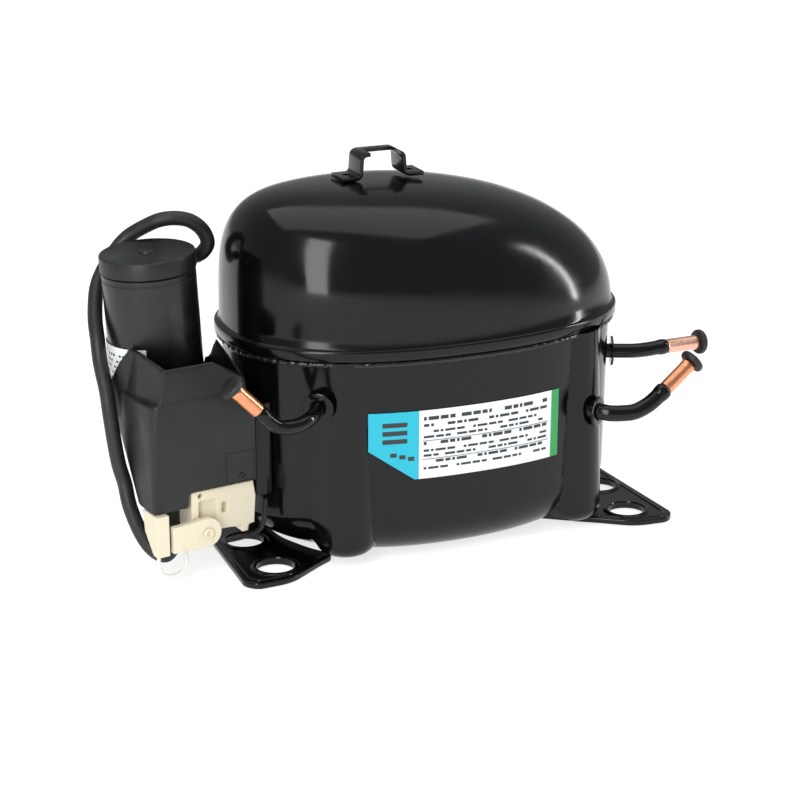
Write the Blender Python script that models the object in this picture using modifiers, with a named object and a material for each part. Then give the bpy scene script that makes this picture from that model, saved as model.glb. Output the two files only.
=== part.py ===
"""Hermetic reciprocating compressor, built from separate solids in metres with +Z up.

The shell stands on its two base plates at z = 0. Everything is placed from the shell's own
vertical axis, and one empty moves that axis so that the origin is under the middle of the object.
"""

import math

import bmesh
import bpy
from mathutils import Matrix, Vector

# Place of the shell's vertical axis, so that the origin is the middle of the object's footprint.
SHELL_AXIS = Vector((0.0063, -0.0048, 0.0))
GAP = 0.0003

# Shell, seen from above: half length along X and half depth along Y.
WALL = 0.003
PLAN_POWER = 2.3
RING_POINTS = 36
LOWER_HALF = (0.0862, 0.0570)
LOWER_FLOOR = 0.0008
LOWER_TOP = 0.0895
BOWL_ROUND = (0.034, 0.018)
BOWL_RISE = 0.020
BOWL_DRAFT = 0.015
LIP_HALF = (0.0893, 0.0590)
LIP_BOTTOM = LOWER_TOP + GAP
LIP_TOP = 0.0946
DOME_HALF = (0.0871, 0.0575)
DOME_FOOT = 0.0956
DOME_TOP = 0.1531
DOME_CENTRE = (-0.0260, -0.0010)
DOME_POWERS = {"left": 4.3, "right": 2.13, "depth": 2.7}
SEAM_BEAD = 0.0011

# Lifting bracket on the dome.
BRACKET_CENTRE = (-0.0177, 0.0085)
BRACKET_WIDTH = 0.0135

# Corner columns that hold the suspension springs.
COLUMN_X = (-0.050, 0.056)
COLUMN_Y = 0.040
COLUMN_BOTTOM = 0.0028
COLUMN_TOP = 0.0850
COLUMN_RADIUS = (0.0130, 0.0105)
COLUMN_WALL = 0.0025
COLUMN_ROUND = (0.0070, 0.0035)

# Base plates and their grommet holes.
PLATE = 0.0025
GROMMET_HOLE = 0.0080
HOLE_CENTRE_Y = 0.0081
HOLES_101 = (0.08255, 0.0508)
HOLES_70 = (0.0850, 0.0350)

# Nameplate on the front of the bowl.
PLATE_X = (-0.0440, 0.0428)
PLATE_Z = (0.0372, 0.0672)
PLATE_CUT = (0.0190, 0.0135)
FILM = 0.0003

# Electrical box, in its own frame: x runs along the box to the shell, y runs back.
BOX_ORIGIN = Vector((-0.0860, -0.0330, 0.0))
BOX_TURN = math.radians(9.0)
BOX_LENGTH = 0.048
BOX_BOTTOM = 0.032
BOX_LEDGE = 0.078
CUP_TOP = 0.0968
TERMINAL_PLACE = Vector((0.0, 0.0250, 0.0470))
TERMINAL_RADIUS = 0.0105

# Start capacitor, in the electrical box's frame.
CAN_RADIUS = 0.0194
CAN_FOOT = Vector((-0.0269, 0.0346, 0.0690))
CAN_LEAN = (math.radians(-0.5), math.radians(-3.0), 0.0)
CAN_LENGTH = 0.0562
CAP_HEIGHT = 0.0070

# Tubes and the lead.
COPPER_RADIUS = 0.00315
COPPER_BORE = 0.0024
PLUG_RADIUS = 0.0055
PLUG_HEAD = 0.0028
LEAD_RADIUS = 0.0031

# Pump: a vertical crank axis, and a horizontal cylinder that points to -X.
CRANK_X = 0.003
THROW = 0.008
ROD_LENGTH = 0.038
BORE_RADIUS = 0.0115
CYLINDER_Z = 0.1160
BLOCK_TOP = 0.0990
BLOCK_PLATE = 0.0075
SHAFT_RADIUS = 0.0080
PIN_RADIUS = 0.0055
WRIST_RADIUS = 0.0030
WEB_TOP = 0.1030
STATOR_Z = (0.0300, 0.0720)
STATOR_HALF = (0.0550, 0.0440)
ROTOR_RADIUS = 0.0260
SPRING_X = 0.0500
SPRING_Y = 0.0390
SPRING_Z = (0.0073, 0.0296)
SPRING_RADIUS = 0.0050
SPRING_WIRE = 0.0008


def clear_scene():
    for obj in list(bpy.data.objects):
        bpy.data.objects.remove(obj, do_unlink=True)
    for name in ("hermetic_compressor", "cutters"):
        collection = bpy.data.collections.new(name)
        bpy.context.scene.collection.children.link(collection)
        collection.hide_render = name == "cutters"


clear_scene()
PARTS = bpy.data.collections["hermetic_compressor"]
CUTTERS = bpy.data.collections["cutters"]
MATERIALS = {}


def material(name, colour, roughness, metallic=0.0):
    made = bpy.data.materials.new(name)
    made.use_nodes = True
    shader = made.node_tree.nodes["Principled BSDF"]
    shader.inputs["Base Color"].default_value = (*colour, 1.0)
    shader.inputs["Roughness"].default_value = roughness
    shader.inputs["Metallic"].default_value = metallic
    made.diffuse_color = (*colour, 1.0)
    MATERIALS[name] = made


material("black_paint", (0.006, 0.006, 0.007), 0.18)
material("black_plastic", (0.028, 0.030, 0.036), 0.55)
material("black_rubber", (0.020, 0.020, 0.020), 0.75)
material("white_plastic", (0.80, 0.76, 0.66), 0.45)
material("label_film", (0.85, 0.87, 0.86), 0.40)
material("copper", (0.80, 0.33, 0.14), 0.30, 1.0)
material("cast_iron", (0.16, 0.16, 0.165), 0.60, 0.8)
material("steel", (0.45, 0.45, 0.46), 0.35, 1.0)
material("spring_steel", (0.35, 0.35, 0.36), 0.30, 1.0)
material("electrical_steel", (0.22, 0.22, 0.24), 0.50, 0.9)
material("winding_copper", (0.60, 0.22, 0.07), 0.40, 0.9)
material("aluminium", (0.62, 0.63, 0.64), 0.45, 1.0)


def empty(name, location, rotation=(0.0, 0.0, 0.0), parent=None):
    obj = bpy.data.objects.new(name, None)
    obj.location = location
    obj.rotation_euler = rotation
    obj.parent = parent
    PARTS.objects.link(obj)
    return obj


def add(name, data, finish=None, parent=None, location=(0, 0, 0), rotation=(0, 0, 0)):
    """Links a new object: a part when it has a finish, or else a hidden cutter."""
    obj = bpy.data.objects.new(name, data)
    obj.parent = parent
    obj.location = location
    obj.rotation_euler = rotation
    if finish is None:
        obj.hide_render = True
        obj.display_type = "WIRE"
        CUTTERS.objects.link(obj)
    else:
        data.materials.append(MATERIALS[finish])
        PARTS.objects.link(obj)
    return obj


def mesh_of(name, bm, smooth_angle=40.0):
    mesh = bpy.data.meshes.new(name)
    bmesh.ops.recalc_face_normals(bm, faces=bm.faces)
    bm.to_mesh(mesh)
    bm.free()
    mesh.shade_smooth()
    mesh.set_sharp_from_angle(angle=math.radians(smooth_angle))
    return mesh


def box(name, low, high, finish=None, parent=None, bevel=0.0, **place):
    bm = bmesh.new()
    bmesh.ops.create_cube(bm, size=1.0)
    size = [high[k] - low[k] for k in range(3)]
    middle = [(high[k] + low[k]) / 2 for k in range(3)]
    bmesh.ops.scale(bm, vec=size, verts=bm.verts)
    bmesh.ops.translate(bm, vec=middle, verts=bm.verts)
    obj = add(name, mesh_of(name, bm, 30.0), finish, parent, **place)
    if bevel:
        edges = obj.modifiers.new("edges", "BEVEL")
        edges.width = bevel
        edges.segments = 2
    return obj


def cylinder(name, radius, depth, finish=None, parent=None, segments=32, **place):
    """A cylinder from its foot at the object's origin up its own +Z."""
    bm = bmesh.new()
    bmesh.ops.create_cone(
        bm, cap_ends=True, segments=segments, radius1=radius, radius2=radius, depth=depth
    )
    bmesh.ops.translate(bm, vec=(0, 0, depth / 2), verts=bm.verts)
    return add(name, mesh_of(name, bm), finish, parent, **place)


def turned(name, profile, finish=None, parent=None, steps=32, **place):
    """Turns a profile of (radius, z) points, listed top to bottom down the outer side."""
    bm = bmesh.new()
    verts = [bm.verts.new((radius, 0.0, z)) for radius, z in profile]
    for a, b in zip(verts, verts[1:]):
        bm.edges.new((a, b))
    if profile[0][0] > 0:
        bm.edges.new((verts[-1], verts[0]))
    mesh = bpy.data.meshes.new(name)
    bm.to_mesh(mesh)
    bm.free()
    obj = add(name, mesh, finish, parent, **place)
    screw = obj.modifiers.new("turn", "SCREW")
    screw.steps = steps
    screw.render_steps = steps
    screw.use_merge_vertices = True
    screw.merge_threshold = 0.00001
    screw.use_smooth_shade = True
    return obj


def ring_profile(inner, outer, bottom, top, chamfer=0.0):
    """A closed ring section with its outer corners cut by the chamfer."""
    if not chamfer:
        return [(outer, top), (outer, bottom), (inner, bottom), (inner, top)]
    return [
        (outer - chamfer, top),
        (outer, top - chamfer),
        (outer, bottom + chamfer),
        (outer - chamfer, bottom),
        (inner, bottom),
        (inner, top),
    ]


def smooth_route(points, pieces=5):
    """Points on a Catmull-Rom curve through the route's own points."""
    route = [Vector(p) for p in points]
    ends = [2 * route[0] - route[1], *route, 2 * route[-1] - route[-2]]
    made = []
    for k in range(1, len(ends) - 2):
        a, b, c, d = ends[k - 1 : k + 3]
        for step in range(pieces):
            t = step / pieces
            bend = (2 * a - 5 * b + 4 * c - d) * t**2 + (3 * b - a - 3 * c + d) * t**3
            made.append((2 * b + (c - a) * t + bend) / 2)
    made.append(route[-1])
    return made


def tube(name, points, radius, finish, parent=None, sides=2, cyclic=False, **place):
    curve = bpy.data.curves.new(name, "CURVE")
    curve.dimensions = "3D"
    curve.bevel_depth = radius
    curve.bevel_resolution = sides
    curve.use_fill_caps = True
    spline = curve.splines.new("POLY")
    spline.points.add(len(points) - 1)
    for point, position in zip(spline.points, points):
        point.co = (*position, 1.0)
    spline.use_cyclic_u = cyclic
    return add(name, curve, finish, parent, **place)


def arc(centre, radius, start, stop, steps):
    """Points on an arc in a plane; the angles are in degrees."""
    made = []
    for k in range(steps + 1):
        angle = math.radians(start + (stop - start) * k / steps)
        made.append((centre[0] + radius * math.cos(angle), centre[1] + radius * math.sin(angle)))
    return made


def circle(centre, radius, steps):
    return arc(centre, radius, 0, 360, steps)[:-1]


def rounded(points, radius, steps=4):
    """A flat outline with each corner replaced by an arc-like curve of about this radius."""
    made = []
    for k, corner in enumerate(points):
        corner = Vector(corner)
        before = Vector(points[k - 1]) - corner
        after = Vector(points[(k + 1) % len(points)]) - corner
        reach = min(radius, 0.45 * before.length, 0.45 * after.length)
        start = corner + before.normalized() * reach
        stop = corner + after.normalized() * reach
        for step in range(steps + 1):
            t = step / steps
            made.append(tuple((1 - t) ** 2 * start + 2 * t * (1 - t) * corner + t**2 * stop))
    return made


def flat(name, outlines, thickness, finish=None, parent=None, **place):
    """A flat outline with holes, made thick along its own +Z from z = 0."""
    curve = bpy.data.curves.new(name, "CURVE")
    curve.dimensions = "2D"
    curve.fill_mode = "BOTH"
    curve.extrude = thickness / 2
    for outline in outlines:
        spline = curve.splines.new("POLY")
        spline.points.add(len(outline) - 1)
        for point, (x, y) in zip(spline.points, outline):
            point.co = (x, y, 0.0, 1.0)
        spline.use_cyclic_u = True
    helper = bpy.data.objects.new(name + "_outline", curve)
    CUTTERS.objects.link(helper)
    bpy.context.view_layer.update()
    graph = bpy.context.evaluated_depsgraph_get()
    mesh = bpy.data.meshes.new_from_object(helper.evaluated_get(graph))
    bpy.data.objects.remove(helper, do_unlink=True)
    bm = bmesh.new()
    bm.from_mesh(mesh)
    bmesh.ops.remove_doubles(bm, verts=bm.verts, dist=0.000001)
    bmesh.ops.translate(bm, vec=(0, 0, thickness / 2), verts=bm.verts)
    bpy.data.meshes.remove(mesh)
    return add(name, mesh_of(name, bm, 35.0), finish, parent, **place)


STAND_UP = (math.pi / 2, 0.0, 0.0)


def boolean(obj, operation, *others):
    for other in others:
        cut = obj.modifiers.new(f"{operation.lower()}_{other.name}"[:60], "BOOLEAN")
        cut.operation = operation
        cut.solver = "EXACT"
        cut.object = other


def turn_to(direction):
    """The rotation that points an object's +Z along the direction."""
    return Vector(direction).to_track_quat("Z", "Y").to_euler()


def plan_ring(reach, half_depth, z, power=PLAN_POWER, centre=(0.0, 0.0)):
    """A rounded outline seen from above; reach is its extent to the left and to the right."""
    made = []
    for k in range(RING_POINTS):
        angle = 2 * math.pi * k / RING_POINTS
        c, s = math.cos(angle), math.sin(angle)
        along = reach[1] if c > 0 else reach[0]
        x = centre[0] + math.copysign(along * abs(c) ** (2 / power), c)
        y = centre[1] + math.copysign(half_depth * abs(s) ** (2 / power), s)
        made.append((x, y, z))
    return made


def lofted(name, rings, finish=None, parent=None, closed=False, triangles=False, **place):
    """Skins a stack of rings. A ring of one point is a tip, and two tips in a row end a skin."""
    bm = bmesh.new()
    rows = [[bm.verts.new(point) for point in ring] for ring in rings]
    pairs = list(zip(rows, rows[1:])) + ([(rows[-1], rows[0])] if closed else [])
    for first, second in pairs:
        if len(first) == len(second) == 1:
            continue
        if len(first) == 1 or len(second) == 1:
            tip, row = (first[0], second) if len(first) == 1 else (second[0], first)
            for k in range(len(row)):
                bm.faces.new((row[k - 1], row[k], tip))
            continue
        for k in range(len(first)):
            bm.faces.new((first[k - 1], first[k], second[k], second[k - 1]))
    if not closed:
        bm.faces.new(rows[0])
        bm.faces.new(rows[-1])
    if triangles:
        bmesh.ops.triangulate(bm, faces=bm.faces)
    return add(name, mesh_of(name, bm), finish, parent, **place)


SHELL = empty("shell_axis", SHELL_AXIS)
BOX = empty("electrical_frame", BOX_ORIGIN, (0, 0, BOX_TURN), SHELL)
COVER = empty("cover_frame", (0, 0, 0), (0, 0, 0), BOX)
CAPACITOR = empty("capacitor_frame", CAN_FOOT, CAN_LEAN, COVER)
PUMP = empty("suspension_axis", (CRANK_X, 0, 0), (0, 0, 0), SHELL)
CRANK = empty("crank_axis", (0, 0, 0), (0, 0, 0), PUMP)
PISTON = empty("wrist_pin_axis", (-(THROW + ROD_LENGTH), 0, CYLINDER_Z), (0, 0, 0), PUMP)
ROD = empty("rod_swing_axis", (0, 0, 0), (0, 0, 0), PISTON)

# Each tube's place and direction where it leaves the shell, and its route from inside the shell.
TUBES = {
    "suction": {
        "radius": 0.0032,
        "copper": 0.0165,
        "exit": Vector((0.0818, -0.0215, 0.0703)),
        "way": Vector((0.92, -0.39, 0.0)),
        "route": [
            (0.0763, -0.0192, 0.0703),
            (0.0818, -0.0215, 0.0703),
            (0.0871, -0.0238, 0.0702),
            (0.0930, -0.0258, 0.0701),
            (0.0985, -0.0269, 0.0703),
            (0.1035, -0.0272, 0.0706),
            (0.1082, -0.0268, 0.0705),
        ],
    },
    "process": {
        "radius": 0.0035,
        "copper": 0.0155,
        "exit": Vector((0.0605, -0.0505, 0.0543)),
        "way": Vector((0.64, -0.77, 0.0)),
        "route": [
            (0.0567, -0.0459, 0.0543),
            (0.0605, -0.0505, 0.0543),
            (0.0628, -0.0532, 0.0544),
            (0.0662, -0.0560, 0.0541),
            (0.0711, -0.0573, 0.0539),
            (0.0768, -0.0578, 0.0540),
            (0.0828, -0.0578, 0.0561),
            (0.0876, -0.0576, 0.0592),
            (0.0917, -0.0570, 0.0621),
        ],
    },
    "discharge": {
        "radius": 0.0030,
        "copper": 0.0140,
        "exit": Vector((-0.0632, -0.0455, 0.0715)),
        "way": Vector((-0.5875, -0.809, -0.10)),
        "route": [
            (-0.0590, -0.0398, 0.0722),
            (-0.0655, -0.0488, 0.0712),
            (-0.0712, -0.0552, 0.0700),
            (-0.0785, -0.0583, 0.0690),
            (-0.0865, -0.0588, 0.0703),
            (-0.0942, -0.0588, 0.0776),
        ],
    },
}

# The capacitor's lead, from the cap, over the top, down the left side and up into the cover.
LEAD_ROUTE = [
    (-0.1088, 0.0134, 0.1270),
    (-0.1050, 0.0180, 0.1250),
    (-0.1000, 0.0190, 0.1230),
    (-0.0955, 0.0160, 0.1228),
    (-0.0925, 0.0130, 0.1250),
    (-0.0904, 0.0120, 0.1293),
    (-0.0926, 0.0120, 0.1349),
    (-0.0982, 0.0110, 0.1396),
    (-0.1046, 0.0115, 0.1412),
    (-0.1106, 0.0135, 0.1405),
    (-0.1154, 0.0170, 0.1377),
    (-0.1203, 0.0205, 0.1341),
    (-0.1242, 0.0215, 0.1309),
    (-0.1287, 0.0210, 0.1262),
    (-0.1340, 0.0190, 0.1199),
    (-0.1379, 0.0150, 0.1147),
    (-0.1406, 0.0090, 0.1093),
    (-0.1424, 0.0035, 0.1036),
    (-0.1434, -0.0025, 0.0971),
    (-0.1438, -0.0070, 0.0881),
    (-0.1431, -0.0115, 0.0783),
    (-0.1426, -0.0140, 0.0675),
    (-0.1417, -0.0150, 0.0573),
    (-0.1404, -0.0160, 0.0470),
    (-0.1385, -0.0170, 0.0388),
    (-0.1376, -0.0200, 0.0297),
    (-0.1346, -0.0235, 0.0193),
    (-0.1309, -0.0265, 0.0124),
    (-0.1262, -0.0285, 0.0092),
    (-0.1232, -0.0292, 0.0118),
    (-0.1222, -0.0293, 0.0180),
    (-0.1224, -0.0293, 0.0290),
    (-0.1226, -0.0292, 0.0430),
]


def column_profile(shrink, top, rise):
    """A corner column with a foot that rounds over this height; shrink makes the pocket in it."""
    foot, head = COLUMN_RADIUS[0] - shrink, COLUMN_RADIUS[1] - shrink
    bottom = COLUMN_BOTTOM + shrink
    profile = [(0.0, top), (head, top)]
    for k in range(6):
        angle = math.radians(90 * k / 5)
        radius = foot * math.cos(angle) ** 0.6 if k < 5 else 0.0
        profile.append((radius, bottom + rise * (1 - math.sin(angle))))
    return profile


def bowl_rings(inset, top):
    """Rings of the bowl from its floor to this height."""
    half = [value - inset for value in LOWER_HALF]
    floor = LOWER_FLOOR + inset
    rings = []
    for k in range(7):
        angle = math.radians(90 * k / 6)
        x, y = [half[i] * (1 - BOWL_DRAFT) - BOWL_ROUND[i] * (1 - math.sin(angle)) for i in (0, 1)]
        rings.append(plan_ring((x, x), y, floor + BOWL_RISE * (1 - math.cos(angle))))
    x, y = half
    rings.append(plan_ring((x, x), y, top))
    return rings


def lower_shell():
    shell = lofted("lower_shell", bowl_rings(0.0, LOWER_TOP), "black_paint", SHELL)
    hollow = lofted("bowl_hollow", bowl_rings(WALL, LOWER_TOP + 0.010), None, SHELL)
    pockets = []
    for i, x in enumerate(COLUMN_X):
        for j, y in enumerate((-COLUMN_Y, COLUMN_Y)):
            place = (x, y, 0)
            outside = column_profile(0.0, COLUMN_TOP, COLUMN_ROUND[0])
            inside = column_profile(COLUMN_WALL, COLUMN_TOP - COLUMN_WALL, COLUMN_ROUND[1])
            column = turned(f"column_{i}{j}", outside, None, SHELL, 20, location=place)
            pockets.append(turned(f"pocket_{i}{j}", inside, None, SHELL, 20, location=place))
            boolean(shell, "UNION", column)
    boolean(shell, "DIFFERENCE", hollow, *pockets)
    for name, data in TUBES.items():
        way = data["way"].normalized()
        hole = cylinder(
            f"{name}_hole", data["radius"] + GAP, 0.024, None, SHELL, 20,
            location=data["exit"] - way * 0.012, rotation=turn_to(way),
        )
        boolean(shell, "DIFFERENCE", hole)
    port = cylinder(
        "terminal_port", TERMINAL_RADIUS + GAP, 0.030, None, SHELL, 32,
        location=BOX_ORIGIN + TERMINAL_PLACE + Vector((0.012, 0, 0)), rotation=turn_to((-1, 0, 0)),
    )
    boolean(shell, "DIFFERENCE", port)


def dome_rings(inset):
    """Rings of the dome from its foot up; its top lies left of the middle."""
    rise = DOME_TOP - inset - DOME_FOOT
    half_x, half_y = [value - inset for value in DOME_HALF]
    left, right = half_x + DOME_CENTRE[0], half_x - DOME_CENTRE[0]
    rings = []
    for part in (0.0, 0.16, 0.32, 0.48, 0.62, 0.74, 0.84, 0.91, 0.957, 0.985, 0.997):
        slide = DOME_CENTRE[0] * (1 - part)
        reach = (
            left * fall(part, DOME_POWERS["left"]) - slide,
            right * fall(part, DOME_POWERS["right"]) + slide,
        )
        depth = half_y * fall(part, DOME_POWERS["depth"])
        centre = (DOME_CENTRE[0] * part, DOME_CENTRE[1] * part)
        power = PLAN_POWER - 0.2 * part
        rings.append(plan_ring(reach, depth, DOME_FOOT + rise * part, power, centre))
    rings.append([(*DOME_CENTRE, DOME_TOP - inset)])
    return rings


def fall(part, power):
    """How much of a dome's reach is left at this part of its height."""
    return (1 - part**power) ** (1 / power)


def upper_shell():
    """The dome's outer and inner skins, joined at its foot by a lip that stands proud."""
    def lip(half, inset, z):
        return plan_ring((half[0] - inset, half[0] - inset), half[1] - inset, z)

    rim = [lip(LIP_HALF, 0.0, LIP_BOTTOM), lip(LIP_HALF, 0.0, LIP_TOP - 0.0008)]
    rim.append(lip(LIP_HALF, 0.0008, LIP_TOP))
    inside = dome_rings(WALL)[::-1] + [lip(DOME_HALF, WALL, LIP_BOTTOM)]
    lofted("upper_shell", rim + dome_rings(0.0) + inside, "black_paint", SHELL, closed=True)


def weld_seam():
    half = [value + SEAM_BEAD + GAP for value in LOWER_HALF]
    path = plan_ring((half[0], half[0]), half[1], LIP_BOTTOM - SEAM_BEAD - GAP)
    tube("weld_seam", path, SEAM_BEAD, "black_paint", SHELL, sides=1, cyclic=True)


def top_bracket():
    """A bent strap on two feet; the front of its bridge is cut away."""
    thick, rise = 0.0016, 0.0106
    foot, riser = 0.0085, 0.0100
    line = [(-riser - foot, 0.0), (-riser, 0.0), (-riser + 0.0002, rise - 0.0030)]
    line += [(-riser + 0.0012, rise - 0.0010), (-riser + 0.0034, rise)]
    line = [Vector(point) for point in line + [(-x, y) for x, y in line[::-1]]]
    upper, lower = [], []
    for k, point in enumerate(line):
        before = (line[max(k, 1)] - line[max(k, 1) - 1]).normalized()
        after = (line[min(k + 1, len(line) - 1)] - line[min(k, len(line) - 2)]).normalized()
        middle = (before + after).normalized()
        across = Vector((-middle.y, middle.x)) * (thick / 2 / middle.dot(after))
        upper.append(tuple(point + across))
        lower.append(tuple(point - across))
    place = Vector((*BRACKET_CENTRE, DOME_TOP + thick / 2 + GAP))
    strap = flat(
        "top_bracket", [upper + lower[::-1]], BRACKET_WIDTH, "black_paint", SHELL,
        location=place, rotation=STAND_UP,
    )
    window = box(
        "bracket_window", (-0.0060, -0.002, 0.0030), (0.0085, BRACKET_WIDTH - 0.0035, 0.020), None, SHELL,
        location=place - Vector((0, BRACKET_WIDTH, 0)),
    )
    boolean(strap, "DIFFERENCE", window)
    for name, side in (("left", -1), ("right", 1)):
        hole = cylinder(
            f"bracket_hole_{name}", 0.0017, 0.010, None, SHELL, 16,
            location=place + Vector((side * (riser + foot * 0.5), -BRACKET_WIDTH * 0.45, -0.005)),
        )
        boolean(strap, "DIFFERENCE", hole)


def base_plates():
    """Each plate carries the grommet holes of the 165.1 x 101.6 mm and 170 x 70 mm patterns."""
    back = HOLE_CENTRE_Y + HOLES_101[1]
    front = HOLE_CENTRE_Y - HOLES_101[1]
    outline = [
        (0.0968, HOLE_CENTRE_Y),
        (0.1000, front - 0.0100),
        (0.0955, front - 0.0150),
        (0.0800, front - 0.0140),
        (0.0635, front - 0.0020),
        (0.0545, front + 0.0035),
        (0.0620, front + 0.0135),
        (0.0690, front + 0.0300),
        (0.0700, HOLE_CENTRE_Y - 0.0081),
        (0.0690, back - 0.0460),
        (0.0620, back - 0.0300),
        (0.0560, back - 0.0170),
        (0.0660, back - 0.0080),
        (0.0800, back + 0.0142),
        (0.0955, back + 0.0150),
        (0.1000, back + 0.0100),
    ]
    slot = arc((HOLES_101[0], back), GROMMET_HOLE, 90, 270, 10)
    slot += arc((HOLES_70[0], back), GROMMET_HOLE, -90, 90, 10)
    holes = [circle((HOLES_101[0], front), GROMMET_HOLE, 20), slot]
    holes.append(circle((HOLES_70[0], back - 2 * HOLES_70[1]), GROMMET_HOLE, 20))
    for name, side in (("base_plate_left", -1), ("base_plate_right", 1)):
        outlines = [[(side * x, y) for x, y in one] for one in [rounded(outline, 0.006, 2), *holes]]
        flat(name, outlines, PLATE, "black_paint", SHELL)


def tube_assembly(name, data):
    """A steel tube with its collar on the shell, a copper end, and a rubber plug in that."""
    route = smooth_route(data["route"], 3)
    tube(f"{name}_tube", route, data["radius"], "black_paint", SHELL)
    way = data["way"].normalized()
    collar = ring_profile(data["radius"] + GAP, 0.0066, 0.0, 0.0011)
    turned(
        f"{name}_collar", collar, "black_paint", SHELL, 20,
        location=data["exit"] + way * 0.0016, rotation=turn_to(way),
    )
    along = (Vector(route[-1]) - Vector(route[-2])).normalized()
    start = Vector(route[-1]) + along * GAP
    copper = ring_profile(COPPER_BORE, COPPER_RADIUS, 0.0, data["copper"])
    turned(f"{name}_copper_end", copper, "copper", SHELL, 20, location=start, rotation=turn_to(along))
    plug = [
        (0.0, PLUG_HEAD),
        (PLUG_RADIUS - 0.0006, PLUG_HEAD),
        (PLUG_RADIUS, PLUG_HEAD - 0.0006),
        (PLUG_RADIUS, 0.0),
        (COPPER_BORE - GAP, 0.0),
        (COPPER_BORE - GAP, -0.0065),
        (0.0015, -0.0080),
        (0.0, -0.0080),
    ]
    turned(
        f"{name}_plug", plug, "black_rubber", SHELL, 20,
        location=start + along * (data["copper"] + GAP), rotation=turn_to(along),
    )


def nameplate():
    """A thin film that follows the bowl's front wall; its lower left corner is cut off."""
    rings = []
    for row in range(5):
        z = PLATE_Z[0] + (PLATE_Z[1] - PLATE_Z[0]) * row / 4
        part = (z - LOWER_FLOOR - BOWL_RISE) / (LOWER_TOP - LOWER_FLOOR - BOWL_RISE)
        draft = 1 - BOWL_DRAFT * (1 - part)
        a, b = LOWER_HALF[0] * draft, LOWER_HALF[1] * draft
        cut = PLATE_CUT[0] * max(0.0, 1 - (z - PLATE_Z[0]) / PLATE_CUT[1])
        left = PLATE_X[0] + cut
        near, far = [], []
        for k in range(13):
            x = left + (PLATE_X[1] - left) * k / 12
            y = -b * (1 - abs(x / a) ** PLAN_POWER) ** (1 / PLAN_POWER)
            slope = b / a * abs(x / a) ** (PLAN_POWER - 1) * abs(y / b) ** (1 - PLAN_POWER)
            outward = Vector((math.copysign(slope, x), -1.0, 0.0)).normalized()
            near.append(Vector((x, y, z)) + outward * GAP)
            far.append(Vector((x, y, z)) + outward * (GAP + FILM))
        rings.append(near + far[::-1])
    lofted("nameplate", rings, "label_film", SHELL)


def hood_ring(left, right, front, back, corners, z):
    """A plan outline of the cover: back depth at its left and right, and its two left corners."""
    front_corner, back_corner = corners
    back_left, back_right = back
    made = [(right, front, z), (right, back_right, z)]
    for x, y in arc((left + back_corner, back_left - back_corner), back_corner, 90, 180, 7):
        made.append((x, y, z))
    for x, y in arc((0, 0), 1.0, 180, 270, 4):
        made.append((left + front_corner[0] * (1 + x), front + front_corner[1] * (1 + y), z))
    return made


def cup_ring(inset, top_left, z):
    """A plan outline of the box round the capacitor's foot; its front left corner is a facet."""
    return [
        (-0.0040 - inset, inset, z),
        (-0.0040 - inset, 0.0320 - inset, z),
        (top_left[1] + inset, 0.0320 - inset, z),
        (top_left[1] + inset, 0.0150, z),
        (top_left[0] + inset, inset, z),
    ]


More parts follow.
